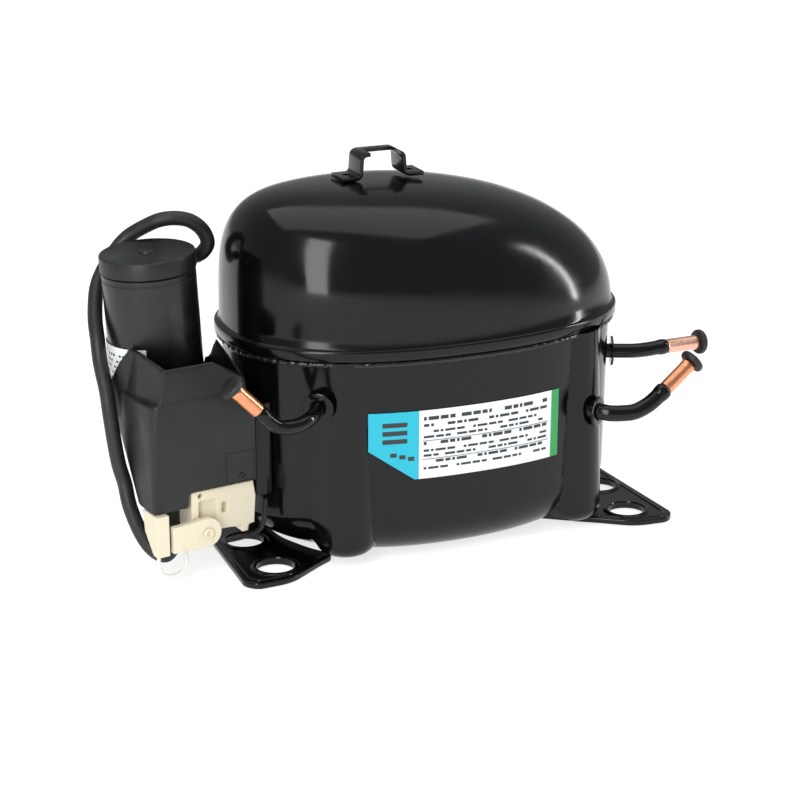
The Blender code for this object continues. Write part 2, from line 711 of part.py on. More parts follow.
def electrical_cover():
    """A hood over the terminal, open below and to the shell, under an open box for the capacitor."""
    left = -BOX_LENGTH
    wall = 0.0020
    stations = (
        (BOX_BOTTOM, (0.0200, 0.0340), ((0.0012, 0.0012), 0.0080)),
        (0.0500, (0.0330, 0.0420), ((0.0015, 0.0050), 0.0110)),
        (0.0655, (0.0480, 0.0490), ((0.0022, 0.0100), 0.0185)),
        (BOX_LEDGE, (0.0570, 0.0570), ((0.0035, 0.0130), 0.0215)),
    )
    outside, inside = [], []
    for z, back, corners in stations:
        outside.append(hood_ring(left, 0.0, 0.0, back, corners, z))
    for z, back, (front_corner, back_corner) in stations[:3]:
        lowered = z - 0.0010 if z > BOX_BOTTOM else z - 0.0020
        thinner = [depth - wall for depth in back]
        smaller = ([max(reach - wall, 0.0018) for reach in front_corner], back_corner - wall)
        inside.append(hood_ring(left + wall, 0.008, wall, thinner, smaller, lowered))
    hood = lofted("electrical_cover", outside, "black_plastic", COVER, triangles=True)
    block = [cup_ring(0.0002, (-0.0452, -0.0475), 0.071), cup_ring(0.0002, (-0.0406, -0.0453), CUP_TOP + 0.002)]
    cup = cylinder(
        "capacitor_cup", CAN_RADIUS + 0.0028, CUP_TOP - CAN_FOOT.z + 0.006, None, COVER, 40,
        location=CAN_FOOT - Vector((0, 0, 0.002)), rotation=CAN_LEAN,
    )
    boolean(hood, "UNION", cup, lofted("cup_block", block, None, COVER))
    high = 0.150
    front_slope = [(-0.0100, 0.0890), (0.0160, 0.0972), (0.0160, high), (-0.0100, high)]
    back_slope = [(0.0220, CUP_TOP), (0.0365, 0.0765), (0.0900, 0.0765), (0.0900, high), (0.0220, high)]
    edge = [(0.0300, 0.0560), (0.0025, 0.0580), (-0.0050, 0.0837), (-0.0190, 0.0920), (-0.0450, 0.1075)]
    right_slope = []
    for y in (-0.015, 0.085):
        ring = [(x, y, z + 0.43 * y) for x, z in edge]
        right_slope.append(ring + [(-0.0450, y, 0.190), (0.0300, y, 0.190)])
    room = [cup_ring(0.0020, (-0.0446, -0.0469), BOX_LEDGE - 0.0006)]
    room.append(cup_ring(0.0020, (-0.0385, -0.0445), 0.110))
    cuts = [
        lofted("cover_room", inside, None, COVER, triangles=True),
        box("cover_front_room", (left + 0.0080, wall, 0.060), (0.008, 0.0105, BOX_LEDGE - wall), None, COVER),
        box("cover_notch", (-0.0318, -0.010, 0.020), (0.010, 0.0200, 0.0384), None, COVER),
        box("cover_top", (-0.080, -0.010, CUP_TOP), (0.020, 0.080, 0.130), None, COVER),
        cylinder(
            "capacitor_bore", CAN_RADIUS + 0.0010, 0.080, None, COVER, 40,
            location=CAN_FOOT - Vector((0, 0, GAP)), rotation=CAN_LEAN,
        ),
        lofted("cup_room", room, None, COVER),
        lofted("cover_right_slope", right_slope, None, COVER),
        flat(
            "cup_front_slope", [front_slope], 0.120, None, COVER,
            location=(-0.090, 0, 0), rotation=(math.pi / 2, 0, math.pi / 2),
        ),
        flat(
            "cup_back_slope", [back_slope], 0.120, None, COVER,
            location=(-0.090, 0, 0), rotation=(math.pi / 2, 0, math.pi / 2),
        ),
    ]
    boolean(hood, "DIFFERENCE", *cuts)


def capacitor():
    can = [
        (0.0, CAN_LENGTH),
        (CAN_RADIUS, CAN_LENGTH),
        (CAN_RADIUS, 0.0018),
        (CAN_RADIUS - 0.0018, 0.0),
        (0.0, 0.0),
    ]
    turned("capacitor_can", can, "black_plastic", CAPACITOR, 36)
    foot = CAN_LENGTH + GAP
    top = foot + CAP_HEIGHT
    rim = CAN_RADIUS + 0.0004
    cap = [
        (0.0, top + 0.0008),
        (0.0030, top + 0.0008),
        (0.0034, top),
        (rim - 0.0010, top),
        (rim, top - 0.0010),
        (rim, foot),
        (0.0, foot),
    ]
    turned("capacitor_cap", cap, "black_plastic", CAPACITOR, 36)
    inner, outer = CAN_RADIUS + 0.0002, CAN_RADIUS + 0.0005
    sheet = arc((0, 0), outer, 100, 234, 14) + arc((0, 0), inner, 234, 100, 14)
    flat("capacitor_label", [sheet], 0.0190, "label_film", CAPACITOR, location=(0, 0, 0.0085))


def terminal_parts():
    """Sealed feed-through, fence, start relay and overload protector, all under the cover."""
    start = BOX_ORIGIN + TERMINAL_PLACE
    profile = [
        (0.0, 0.0040),
        (0.0075, 0.0040),
        (TERMINAL_RADIUS, 0.0015),
        (TERMINAL_RADIUS, -0.0060),
        (0.0, -0.0060),
    ]
    outward = turn_to((-1, 0, 0))
    cup = turned("hermetic_terminal", profile, "steel", SHELL, 28, location=start, rotation=outward)
    for k in range(3):
        angle = math.radians(90 + 120 * k)
        place = start + Vector((0.0100, 0.0050 * math.cos(angle), 0.0050 * math.sin(angle)))
        pin = cylinder(f"pin_{k + 1}", 0.00115, 0.0240, None, SHELL, 12, location=place, rotation=outward)
        boolean(cup, "UNION", pin)
    fence = box("terminal_fence", (0.0004, 0.0025, 0.0300), (0.0030, 0.0440, 0.0620), "steel", BOX, 0.0006)
    flange = box("fence_flange", (0.0010, 0.0025, 0.0300), (0.0078, 0.0042, 0.0700), None, BOX)
    boolean(fence, "UNION", flange)
    opening = box("fence_opening", (-0.010, 0.0080, 0.0345), (0.010, 0.0400, 0.0585), None, BOX)
    boolean(fence, "DIFFERENCE", opening)
    box("start_relay", (-0.0400, 0.0042, 0.0445), (-0.0190, 0.0150, 0.0600), "black_plastic", BOX, 0.0010)
    disc = [(0.0, 0.0085), (0.0065, 0.0085), (0.0075, 0.0075), (0.0075, 0.0), (0.0, 0.0)]
    turned(
        "overload_protector", disc, "black_plastic", BOX, 24,
        location=(-0.0160, 0.0240, 0.0500), rotation=outward,
    )


def white_parts():
    """Terminal block, cord clamp with its hinged arm and pin, and the loop that ties them."""
    profile = [
        (-0.0304, 0.0380), (-0.0016, 0.0380), (-0.0004, 0.0310), (-0.0014, 0.0192), (-0.0040, 0.0188),
        (-0.0043, 0.0160), (-0.0071, 0.0160), (-0.0074, 0.0190), (-0.0304, 0.0200),
    ]
    block = flat(
        "terminal_block", [profile], 0.0130, "white_plastic", BOX,
        location=(0, 0.0144, 0), rotation=STAND_UP,
    )
    cuts = [
        box("block_step", (-0.0270, -0.002, 0.0215), (-0.0190, 0.0034, 0.0335), None, BOX),
        box("block_slot", (-0.0165, -0.002, 0.0265), (-0.0140, 0.0040, 0.0310), None, BOX),
        cylinder("block_hole", 0.0011, 0.006, None, BOX, 12, location=(-0.0262, 0.0050, 0.0357),
                 rotation=turn_to((0, -1, 0))),
    ]
    boolean(block, "DIFFERENCE", *cuts)
    side = [(-0.0020, 0.0140), (0.0020, 0.0140), (0.0095, 0.0225), (0.0110, 0.0317), (-0.0020, 0.0317)]
    flat(
        "cord_clamp_base", [side], 0.0058, "white_plastic", BOX,
        location=(-0.0480, 0, 0), rotation=(math.pi / 2, 0, math.pi / 2),
    )
    hinge = Vector((-0.0250, 0.0005, 0.0207))
    arm_frame = empty("clamp_hinge", hinge, (0, 0, 0), BOX)
    outline = [(-0.0158, 0.0052), (-0.0158, -0.0060)] + arc((0, 0), 0.0063, -90, 90, 10)
    hole = circle((0, 0), 0.0017, 14)
    flat("cord_clamp_arm", [outline, hole], 0.0030, "white_plastic", arm_frame, rotation=STAND_UP)
    pin = [(0.0, 0.0010), (0.0022, 0.0010), (0.0022, 0.0), (0.0014, 0.0), (0.0014, -0.0036), (0.0, -0.0036)]
    turned(
        "clamp_pin", pin, "white_plastic", BOX, 16,
        location=hinge - Vector((0, 0.0030 + GAP, 0)), rotation=turn_to((0, -1, 0)),
    )
    loop = [
        (-0.0455, 0.0024, 0.0125), (-0.0452, 0.0024, 0.0080), (-0.0430, 0.0024, 0.0042),
        (-0.0390, 0.0024, 0.0030), (-0.0350, 0.0024, 0.0042), (-0.0330, 0.0024, 0.0080),
        (-0.0334, 0.0024, 0.0130),
    ]
    tube("tether_loop", smooth_route(loop, 3), 0.0008, "white_plastic", BOX, sides=1)
    clip = [
        (0.0036, 0.0010, 0.0290), (0.0032, 0.0010, 0.0200), (0.0012, 0.0010, 0.0152),
        (-0.0080, 0.0010, 0.0138), (-0.0160, 0.0010, 0.0140),
    ]
    tube("retaining_clip", smooth_route(clip, 3), 0.0008, "steel", BOX, sides=1)


def capacitor_lead():
    tube("capacitor_lead", smooth_route(LEAD_ROUTE, 2), LEAD_RADIUS, "black_rubber", SHELL, sides=1)


def motor():
    low, high = STATOR_Z
    x, y = STATOR_HALF
    bore = ROTOR_RADIUS + 0.0006
    slots = []
    for k in range(20):
        slots += arc((0, 0), bore, 18 * k - 4.0, 18 * k + 4.0, 1)
        slots += arc((0, 0), bore + 0.0110, 18 * k + 5.5, 18 * k + 12.5, 1)
    outline = rounded([(-x, -y), (x, -y), (x, y), (-x, y)], 0.009, 3)
    flat("stator_core", [outline, slots], high - low, "electrical_steel", PUMP, location=(0, 0, low))
    for name, bottom, top in (("lower_winding", 0.0190, low - GAP), ("upper_winding", high + GAP, 0.0840)):
        turned(name, ring_profile(0.0290, 0.0400, bottom, top, 0.0030), "winding_copper", PUMP, 32)
    rotor = ring_profile(SHAFT_RADIUS + GAP, ROTOR_RADIUS, 0.0290, 0.0750, 0.0010)
    turned("rotor", rotor, "aluminium", CRANK, 32)


def crankshaft():
    web_bottom = BLOCK_TOP + GAP
    low = 0.0260
    profile = [
        (0.0, WEB_TOP),
        (0.0145, WEB_TOP),
        (0.0145, web_bottom),
        (SHAFT_RADIUS, web_bottom),
        (SHAFT_RADIUS, low),
        (0.0, low),
    ]
    shaft = turned("crankshaft", profile, "steel", CRANK, 32)
    outline = arc((0, 0), 0.0270, -62, 62, 12) + arc((0, 0), 0.0100, 62, -62, 4)
    weight = flat(
        "counterweight", [outline], WEB_TOP - web_bottom, None, CRANK, location=(0, 0, web_bottom)
    )
    boolean(shaft, "UNION", weight)
    pickup = [
        (0.0060, low - GAP), (0.0060, 0.0200), (0.0032, 0.0085),
        (0.0015, 0.0085), (0.0030, 0.0200), (0.0030, low - GAP),
    ]
    turned("oil_pickup", pickup, "steel", CRANK, 20)


def cylinder_block():
    """Bearing plate on four legs, with the main bearing's hub and the cylinder's barrel."""
    bottom = BLOCK_TOP - BLOCK_PLATE
    barrel_end = -(THROW + ROD_LENGTH) - 0.0130
    barrel_length = 0.0300
    outline = rounded([(-0.046, -0.040), (0.046, -0.040), (0.046, 0.040), (-0.046, 0.040)], 0.010, 3)
    block = flat("cylinder_block", [outline], BLOCK_PLATE, "cast_iron", PUMP, location=(0, 0, bottom))
    toward_crank = turn_to((1, 0, 0))
    head_face = (barrel_end, 0, CYLINDER_Z)
    joined = [
        cylinder("block_hub", 0.0150, 0.0160, None, PUMP, 28, location=(0, 0, bottom - 0.0150)),
        cylinder("block_barrel", 0.0170, barrel_length, None, PUMP, 32,
                 location=head_face, rotation=toward_crank),
        box("block_saddle", (barrel_end, -0.0160, bottom + 0.001),
            (barrel_end + barrel_length, 0.0160, CYLINDER_Z), None, PUMP),
    ]
    leg = STATOR_Z[1] + GAP
    for i, x in enumerate((-0.042, 0.042)):
        for j, y in enumerate((-0.035, 0.035)):
            joined.append(cylinder(f"leg_{i}{j}", 0.0055, bottom + 0.001 - leg, None, PUMP, 16,
                                   location=(x, y, leg)))
    boolean(block, "UNION", *joined)
    bearing = cylinder("bearing_bore", SHAFT_RADIUS + GAP, 0.060, None, PUMP, 32, location=(0, 0, 0.060))
    bore = cylinder("cylinder_bore", BORE_RADIUS + GAP, 0.060, None, PUMP, 32,
                    location=(barrel_end - 0.002, 0, CYLINDER_Z), rotation=toward_crank)
    boolean(block, "DIFFERENCE", bearing, bore)
    return barrel_end


def piston_and_rod():
    """A cup open towards the crank; the rod swings on the wrist pin and carries the crank pin."""
    profile = [
        (0.0, 0.0118),
        (BORE_RADIUS - 0.0006, 0.0118),
        (BORE_RADIUS, 0.0112),
        (BORE_RADIUS, -0.0075),
        (0.0076, -0.0075),
        (0.0076, 0.0072),
        (0.0, 0.0072),
    ]
    piston = turned("piston", profile, "steel", PISTON, 32, rotation=turn_to((-1, 0, 0)))
    cross = cylinder(
        "piston_cross_hole", WRIST_RADIUS + GAP, 0.040, None, PISTON, 20, location=(0, 0, -0.020)
    )
    boolean(piston, "DIFFERENCE", cross)
    cylinder("wrist_pin", WRIST_RADIUS, 0.0212, "steel", PISTON, 20, location=(0, 0, -0.0106))
    thick = 0.0080
    crank_pin = (ROD_LENGTH, 0)
    beam = 0.0034
    outline = [(ROD_LENGTH - 0.0090, -beam)]
    outline += arc(crank_pin, 0.0096, -150, 150, 14)
    outline.append((ROD_LENGTH - 0.0090, beam))
    outline.append((0.0048, beam))
    outline += arc((0, 0), 0.0058, 40, 320, 12)
    outline.append((0.0048, -beam))
    eyes = [circle((0, 0), WRIST_RADIUS + GAP, 18), circle(crank_pin, PIN_RADIUS + GAP, 20)]
    flat("connecting_rod", [outline, *eyes], thick, "aluminium", ROD, location=(0, 0, -thick / 2))
    low = WEB_TOP + GAP - CYLINDER_Z
    cylinder("crank_pin", PIN_RADIUS, 0.0060 - low, "steel", ROD, 20, location=(ROD_LENGTH, 0, low))


def head_parts(barrel_end):
    """Valve plate, reeds, cylinder head and suction muffler."""
    face = barrel_end - GAP
    half = 0.0165
    low, high = CYLINDER_Z - half, CYLINDER_Z + half
    outside = face - 0.0030
    plate = box("valve_plate", (outside, -half, low), (face, half, high), "steel", PUMP, 0.0010)
    reed = (CYLINDER_Z - 0.0080, CYLINDER_Z + 0.0035, 0.0004)
    hinges = {"suction": face + GAP, "discharge": outside - GAP - reed[2]}
    for name, y in (("suction", 0.0050), ("discharge", -0.0050)):
        port = cylinder(f"{name}_port", 0.0020, 0.010, None, PUMP, 14,
                        location=(face - 0.006, y, CYLINDER_Z), rotation=turn_to((1, 0, 0)))
        boolean(plate, "DIFFERENCE", port)
        place = empty(f"{name}_reed_root", (hinges[name], y, reed[0]), (0, 0, 0), PUMP)
        box(f"{name}_reed", (0, -0.0025, 0), (reed[2], 0.0025, reed[1] - reed[0]), "spring_steel", place)
    cover = outside - GAP
    head = box(
        "cylinder_head", (cover - 0.0100, -half, low), (cover, half, high), "aluminium", PUMP, 0.0015
    )
    for name, start, stop in (("suction", 0.0012, 0.0130), ("discharge", -0.0130, -0.0012)):
        room = box(f"{name}_room", (cover - 0.0080, start, CYLINDER_Z - 0.0120),
                   (cover + 0.002, stop, CYLINDER_Z + 0.0120), None, PUMP)
        boolean(head, "DIFFERENCE", room)
    box("suction_muffler", (0.0300, -0.0240, BLOCK_TOP + GAP), (0.0560, 0.0240, 0.1210),
        "white_plastic", PUMP, 0.0030)


def suspension():
    """Four coil springs on studs in the shell's columns carry the stator."""
    turns, count = 4.5, 36
    low, high = [SPRING_Z[0] + SPRING_WIRE, SPRING_Z[1] - SPRING_WIRE]
    path = []
    for step in range(count + 1):
        angle = 2 * math.pi * turns * step / count
        along = low + (high - low) * step / count
        path.append((SPRING_RADIUS * math.cos(angle), SPRING_RADIUS * math.sin(angle), along))
    corners = [(x, y) for x in (-SPRING_X, SPRING_X) for y in (-SPRING_Y, SPRING_Y)]
    for k, (x, y) in enumerate(corners):
        name = f"suspension_spring_{k + 1}"
        tube(name, path, SPRING_WIRE, "spring_steel", SHELL, sides=0, location=(CRANK_X + x, y, 0))
        core = SPRING_RADIUS - SPRING_WIRE - 2 * GAP
        stud = [(0.0, 0.0120), (core - 0.0008, 0.0120), (core, 0.0112), (core, 0.0064), (0.0, 0.0064)]
        turned(f"spring_stud_{k + 1}", stud, "steel", SHELL, 12, location=(CRANK_X + x, y, 0))


def discharge_line():
    """The flexible line from the block down to the discharge tube's inner end."""
    route = [
        (-0.0385, -0.0200, 0.0912),
        (-0.0388, -0.0202, 0.0872),
        (-0.0425, -0.0228, 0.0835),
        (-0.0490, -0.0282, 0.0812),
        (-0.0548, -0.0335, 0.0780),
        (-0.0573, -0.0372, 0.0735),
        (-0.0584, -0.0390, 0.0723),
    ]
    tube("discharge_line", smooth_route(route, 3), 0.0016, "copper", SHELL, sides=1)


lower_shell()
upper_shell()
weld_seam()
top_bracket()
base_plates()
for tube_name, tube_data in TUBES.items():
    tube_assembly(tube_name, tube_data)
nameplate()
electrical_cover()
capacitor()
terminal_parts()
white_parts()
capacitor_lead()
motor()
crankshaft()
head_parts(cylinder_block())
piston_and_rod()
suspension()
discharge_line()
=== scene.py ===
"""The looks of the hermetic compressor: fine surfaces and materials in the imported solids' places.

The shell's vertical axis is found from the CAD, and every place below is in metres from it. Most
of the pump keeps its CAD solids, with materials and softened edges.
"""

import math

import bmesh
import bpy
from mathutils import Matrix, Vector


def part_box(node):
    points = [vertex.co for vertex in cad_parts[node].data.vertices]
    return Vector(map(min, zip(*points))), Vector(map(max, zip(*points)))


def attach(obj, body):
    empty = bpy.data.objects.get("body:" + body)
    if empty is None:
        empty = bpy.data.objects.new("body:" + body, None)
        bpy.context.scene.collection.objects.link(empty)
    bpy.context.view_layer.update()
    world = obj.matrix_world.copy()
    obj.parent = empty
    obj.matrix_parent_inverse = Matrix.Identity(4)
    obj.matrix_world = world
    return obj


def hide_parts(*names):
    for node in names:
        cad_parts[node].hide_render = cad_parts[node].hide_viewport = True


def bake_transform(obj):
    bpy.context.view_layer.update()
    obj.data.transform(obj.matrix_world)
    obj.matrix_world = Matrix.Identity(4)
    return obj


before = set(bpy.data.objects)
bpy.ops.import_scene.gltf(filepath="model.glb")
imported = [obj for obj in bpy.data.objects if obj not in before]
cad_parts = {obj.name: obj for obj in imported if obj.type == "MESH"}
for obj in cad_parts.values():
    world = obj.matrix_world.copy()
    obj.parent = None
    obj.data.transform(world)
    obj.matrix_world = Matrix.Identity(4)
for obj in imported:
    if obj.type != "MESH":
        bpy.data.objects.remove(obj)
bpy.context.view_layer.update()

low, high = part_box("lower_shell")
AXIS = Vector(((low.x + high.x) / 2, (low.y + high.y) / 2, 0.0))
GAP = 0.0003

# Shell. A pair is a half length along X and a half depth along Y, or two ends of a range.
WALL = 0.003
PLAN_POWER = 2.3
LOWER_HALF = (0.0862, 0.0570)
LOWER_FLOOR = 0.0008
LOWER_TOP = 0.0895
BOWL_ROUND = (0.034, 0.018)
BOWL_RISE = 0.020
BOWL_DRAFT = 0.015
LIP_HALF = (0.0893, 0.0590)
LIP_BOTTOM = 0.0898
LIP_TOP = 0.0948
DOME_HALF = (0.0871, 0.0575)
DOME_FOOT = 0.0956
DOME_TOP = 0.1531
DOME_CENTRE = (-0.0260, -0.0010)
DOME_POWERS = {"left": 4.3, "right": 2.13, "depth": 2.7}
COLUMN_X = (-0.050, 0.056)
COLUMN_Y = 0.040
COLUMN_BOTTOM = 0.0028
COLUMN_TOP = 0.0850
COLUMN_RADIUS = (0.0130, 0.0105)
COLUMN_ROUND = 0.0070
COLUMN_BLEND = 0.0050

# Base plates: the grommet holes' radius, and the middle and half widths of their patterns.
HOLE = 0.0080
HOLE_CENTRE_Y = 0.0081
HOLE_X = (0.08255, 0.0850)
HOLE_REACH_Y = 0.0508
PLATE_THICK = 0.0025

# Nameplate: its corners along X and Z on the front of the bowl, and where its colours change.
PLATE_LEFT, PLATE_RIGHT = -0.0440, 0.0428
PLATE_BOTTOM, PLATE_TOP = 0.0372, 0.0672
CYAN_END, GREEN_START = -0.0232, 0.0388
FILM_THICK = 0.0003
PRINT_OFF = 0.00062
INK_THICK = 0.00004

# Electrical box: its own frame stands on the shell's left end, turned about the vertical.
BOX_ORIGIN = Vector((-0.0860, -0.0330, 0.0))
BOX_TURN = math.radians(9.0)
CAN_FOOT = Vector((-0.0269, 0.0346, 0.0690))
CAN_LEAN = (math.radians(-0.5), math.radians(-3.0), 0.0)
CAN_RADIUS = 0.0194
CAN_LENGTH = 0.0562
CAP_HEIGHT = 0.0070
HINGE = Vector((-0.0250, 0.0005, 0.0207))
STRAND_Y = 0.0024

# Suspension springs: the height of each coil's two ends, its wire and its turns.
SPRING_FOOT, SPRING_HEAD = 0.0073, 0.0296
SPRING_WIRE = 0.0008
SPRING_TURNS = 4.5

# Camera: its direction, its distance from the point it aims at, and a small move across.
VIEW_AZIMUTH = math.radians(23.0)
VIEW_ELEVATION = math.radians(18.8)
VIEW_DISTANCE = 1.006
VIEW_AIM = Vector((-0.0030, 0.0080, 0.0800))
VIEW_OFFSET = (0.0016, 0.0291)
LENS = 103.5

FACING_FRONT = Matrix.Rotation(math.pi / 2, 4, "X")
FORWARD = Vector((0, -1, 0)).to_track_quat("Z", "Y").to_matrix().to_4x4()
SHELL_PLACE = Matrix.Translation(AXIS)
BOX_PLACE = SHELL_PLACE @ Matrix.Translation(BOX_ORIGIN) @ Matrix.Rotation(BOX_TURN, 4, "Z")
CAN_PLACE = (
    BOX_PLACE
    @ Matrix.Translation(CAN_FOOT)
    @ Matrix.Rotation(CAN_LEAN[1], 4, "Y")
    @ Matrix.Rotation(CAN_LEAN[0], 4, "X")
)


# ---------------- camera, stage and light


def make_camera():
    """Looks at the object from its front left, a little from above."""
    c, s = math.cos(VIEW_AZIMUTH), math.sin(VIEW_AZIMUTH)
    ce, se = math.cos(VIEW_ELEVATION), math.sin(VIEW_ELEVATION)
    right = Vector((c, -s, 0.0))
    forward = Vector((s * ce, c * ce, -se))
    up = right.cross(forward)
    place = AXIS + VIEW_AIM - VIEW_DISTANCE * forward
    place -= VIEW_OFFSET[0] * right + VIEW_OFFSET[1] * up
    camera = bpy.data.objects.new("camera", bpy.data.cameras.new("camera"))
    camera.data.lens = LENS
    camera.data.sensor_width = 36.0
    turn = Matrix((right, up, -forward)).transposed().to_4x4()
    camera.matrix_world = Matrix.Translation(place) @ turn
    bpy.context.scene.collection.objects.link(camera)
    bpy.context.scene.camera = camera


def make_stage():
    """A pale floor that also glows, so that it joins the white surround."""
    bm = bmesh.new()
    bmesh.ops.create_grid(bm, x_segments=1, y_segments=1, size=6.0)
    floor = new_object("floor", bm)
    paper = bpy.data.materials.new("pale_paper")
    paper.use_nodes = True
    shader = paper.node_tree.nodes["Principled BSDF"]
    shader.inputs["Base Color"].default_value = (0.50, 0.50, 0.50, 1.0)
    shader.inputs["Roughness"].default_value = 0.9
    shader.inputs["Specular IOR Level"].default_value = 0.1
    shader.inputs["Emission Color"].default_value = (1.0, 1.0, 1.0, 1.0)
    shader.inputs["Emission Strength"].default_value = 0.74
    floor.data.materials.append(paper)
    floor.location.z = -0.0004


def area_light(name, place, aim, size, power):
    light = bpy.data.objects.new(name, bpy.data.lights.new(name, "AREA"))
    light.data.shape = "RECTANGLE"
    light.data.size, light.data.size_y = size
    light.data.energy = power
    light.location = AXIS + Vector(place)
    light.rotation_euler = (Vector(aim) - Vector(place)).to_track_quat("-Z", "Y").to_euler()
    bpy.context.scene.collection.objects.link(light)


def make_light():
    """A tall softbox on each side, a wide one overhead and a dim surround."""
    world = bpy.data.worlds.new("studio")
    world.use_nodes = True
    background = world.node_tree.nodes["Background"]
    background.inputs["Color"].default_value = (0.92, 0.95, 1.0, 1.0)
    background.inputs["Strength"].default_value = 0.35
    bpy.context.scene.world = world
    middle = (0.0, 0.0, 0.09)
    area_light("left_softbox", (-0.95, -1.00, 0.80), middle, (0.45, 1.80), 19.0)
    area_light("right_softbox", (1.35, -0.45, 0.50), middle, (0.10, 1.00), 7.0)
    area_light("top_softbox", (0.1, 0.2, 1.7), middle, (2.2, 1.4), 13.0)
    bpy.context.scene.view_settings.view_transform = "Standard"


# ---------------- mesh helpers


def new_object(name, bm, place=None):
    """Links an object made of this mesh, with its faces turned outwards."""
    mesh = bpy.data.meshes.new(name)
    bmesh.ops.recalc_face_normals(bm, faces=bm.faces)
    bm.to_mesh(mesh)
    bm.free()
    obj = bpy.data.objects.new(name, mesh)
    if place is not None:
        obj.matrix_world = place
    bpy.context.scene.collection.objects.link(obj)
    return obj


def finish_piece(obj, material, body, slot, *nodes, smooth=32.0):
    """Gives a piece its material, shading, body and the nodes it stands for; the record slot is not
    used.
    """
    obj.data.materials.clear()
    obj.data.materials.append(material)
    if obj.type == "MESH":
        obj.data.shade_smooth()
        obj.data.set_sharp_from_angle(angle=math.radians(smooth))
    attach(obj, body)
    if nodes:
        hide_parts(*nodes)
    return obj


def skin(name, rings, closed=False, place=None):
    """Skins a stack of rings of equal counts; a ring of one point is a tip."""
    bm = bmesh.new()
    rows = [[bm.verts.new(point) for point in ring] for ring in rings]
    pairs = list(zip(rows, rows[1:])) + ([(rows[-1], rows[0])] if closed else [])
    for first, second in pairs:
        if len(first) == len(second) == 1:
            continue
        if len(first) == 1 or len(second) == 1:
            tip, row = (first[0], second) if len(first) == 1 else (second[0], first)
            for k in range(len(row)):
                bm.faces.new((row[k - 1], row[k], tip))
            continue
        for k in range(len(first)):
            bm.faces.new((first[k - 1], first[k], second[k], second[k - 1]))
    if not closed:
        for row in (rows[0], rows[-1]):
            if len(row) > 2:
                bm.faces.new(row)
    return new_object(name, bm, place)


def lathe(name, profile, place, steps=64):
    """Turns (radius, z) points about +Z. A radius of zero closes the shape with a tip."""
    rings = []
    for radius, z in profile:
        if radius <= 0:
            rings.append([(0.0, 0.0, z)])
            continue
        angles = [2 * math.pi * k / steps for k in range(steps)]
        rings.append([(radius * math.cos(a), radius * math.sin(a), z) for a in angles])
    return skin(name, rings, closed=profile[0][0] > 0, place=place)


def arc(centre, radius, start, stop, steps):
    """Points on an arc in a plane; the angles are in degrees."""
    made = []
    for k in range(steps + 1):
        angle = math.radians(start + (stop - start) * k / steps)
        made.append((centre[0] + radius * math.cos(angle), centre[1] + radius * math.sin(angle)))
    return made


def circle(centre, radius, steps):
    """Points round a whole circle."""
    return arc(centre, radius, 0, 360, steps)[:-1]


def oblong(left, right, bottom, top):
    return [(left, bottom), (right, bottom), (right, top), (left, top)]


def rounded(points, radius, steps=8, closed=True):
    """A flat outline or path with each corner replaced by a curve of about this radius."""
    made = []
    for k, corner in enumerate(points):
        if not closed and k in (0, len(points) - 1):
            made.append(tuple(corner))
            continue
        corner = Vector(corner)
        before = Vector(points[k - 1]) - corner
        after = Vector(points[(k + 1) % len(points)]) - corner
        reach = min(radius, 0.45 * before.length, 0.45 * after.length)
        start = corner + before.normalized() * reach
        stop = corner + after.normalized() * reach
        for step in range(steps + 1):
            t = step / steps
            made.append(tuple((1 - t) ** 2 * start + 2 * t * (1 - t) * corner + t**2 * stop))
    return made


def slab(name, outlines, thickness, edge, place):
    """A flat outline with holes, made thick along +Z with rounded edges, as a welded mesh."""
    curve = bpy.data.curves.new(name, "CURVE")
    curve.dimensions = "2D"
    curve.fill_mode = "BOTH"
    curve.extrude = thickness / 2 - edge
    curve.bevel_depth = edge
    curve.bevel_resolution = 3
    curve.offset = -edge
    for outline in outlines:
        spline = curve.splines.new("POLY")
        spline.points.add(len(outline) - 1)
        for point, (x, y) in zip(spline.points, outline):
            point.co = (x, y, 0.0, 1.0)
        spline.use_cyclic_u = True
    helper = bpy.data.objects.new(name + "_outline", curve)
    bpy.context.scene.collection.objects.link(helper)
    mesh = evaluated_mesh(helper)
    bpy.data.objects.remove(helper, do_unlink=True)
    bm = bmesh.new()
    bm.from_mesh(mesh)
    bmesh.ops.remove_doubles(bm, verts=bm.verts, dist=0.000001)
    bmesh.ops.translate(bm, vec=(0, 0, thickness / 2), verts=bm.verts)
    return new_object(name, bm, place)


def smooth_route(points, pieces=5):
    """Points on a Catmull-Rom curve through the route's own points."""
    route = [Vector(p) for p in points]
    ends = [2 * route[0] - route[1], *route, 2 * route[-1] - route[-2]]
    made = []
    for k in range(1, len(ends) - 2):
        a, b, c, d = ends[k - 1 : k + 3]
        for step in range(pieces):
            t = step / pieces
            bend = (2 * a - 5 * b + 4 * c - d) * t**2 + (3 * b - a - 3 * c + d) * t**3
            made.append((2 * b + (c - a) * t + bend) / 2)
    made.append(route[-1])
    return made


def sweep(name, points, radii, place, sides=28):
    """A round bar along the points with its own radius at each, closed by tips."""
    points = [Vector(p) for p in points]
    side = (points[1] - points[0]).orthogonal().normalized()
    rings = [[tuple(points[0])]]
    for k, point in enumerate(points):
        way = (points[min(k + 1, len(points) - 1)] - points[max(k - 1, 0)]).normalized()
        side = (side - way * side.dot(way)).normalized()
        across = way.cross(side)
        ring = []
        for j in range(sides):
            angle = 2 * math.pi * j / sides
            out = side * math.cos(angle) + across * math.sin(angle)
            ring.append(tuple(point + out * radii[k]))
        rings.append(ring)
    rings.append([tuple(points[-1])])
    return skin(name, rings, place=place)


def evaluated_mesh(obj):
    bpy.context.view_layer.update()
    graph = bpy.context.evaluated_depsgraph_get()
    return bpy.data.meshes.new_from_object(obj.evaluated_get(graph))


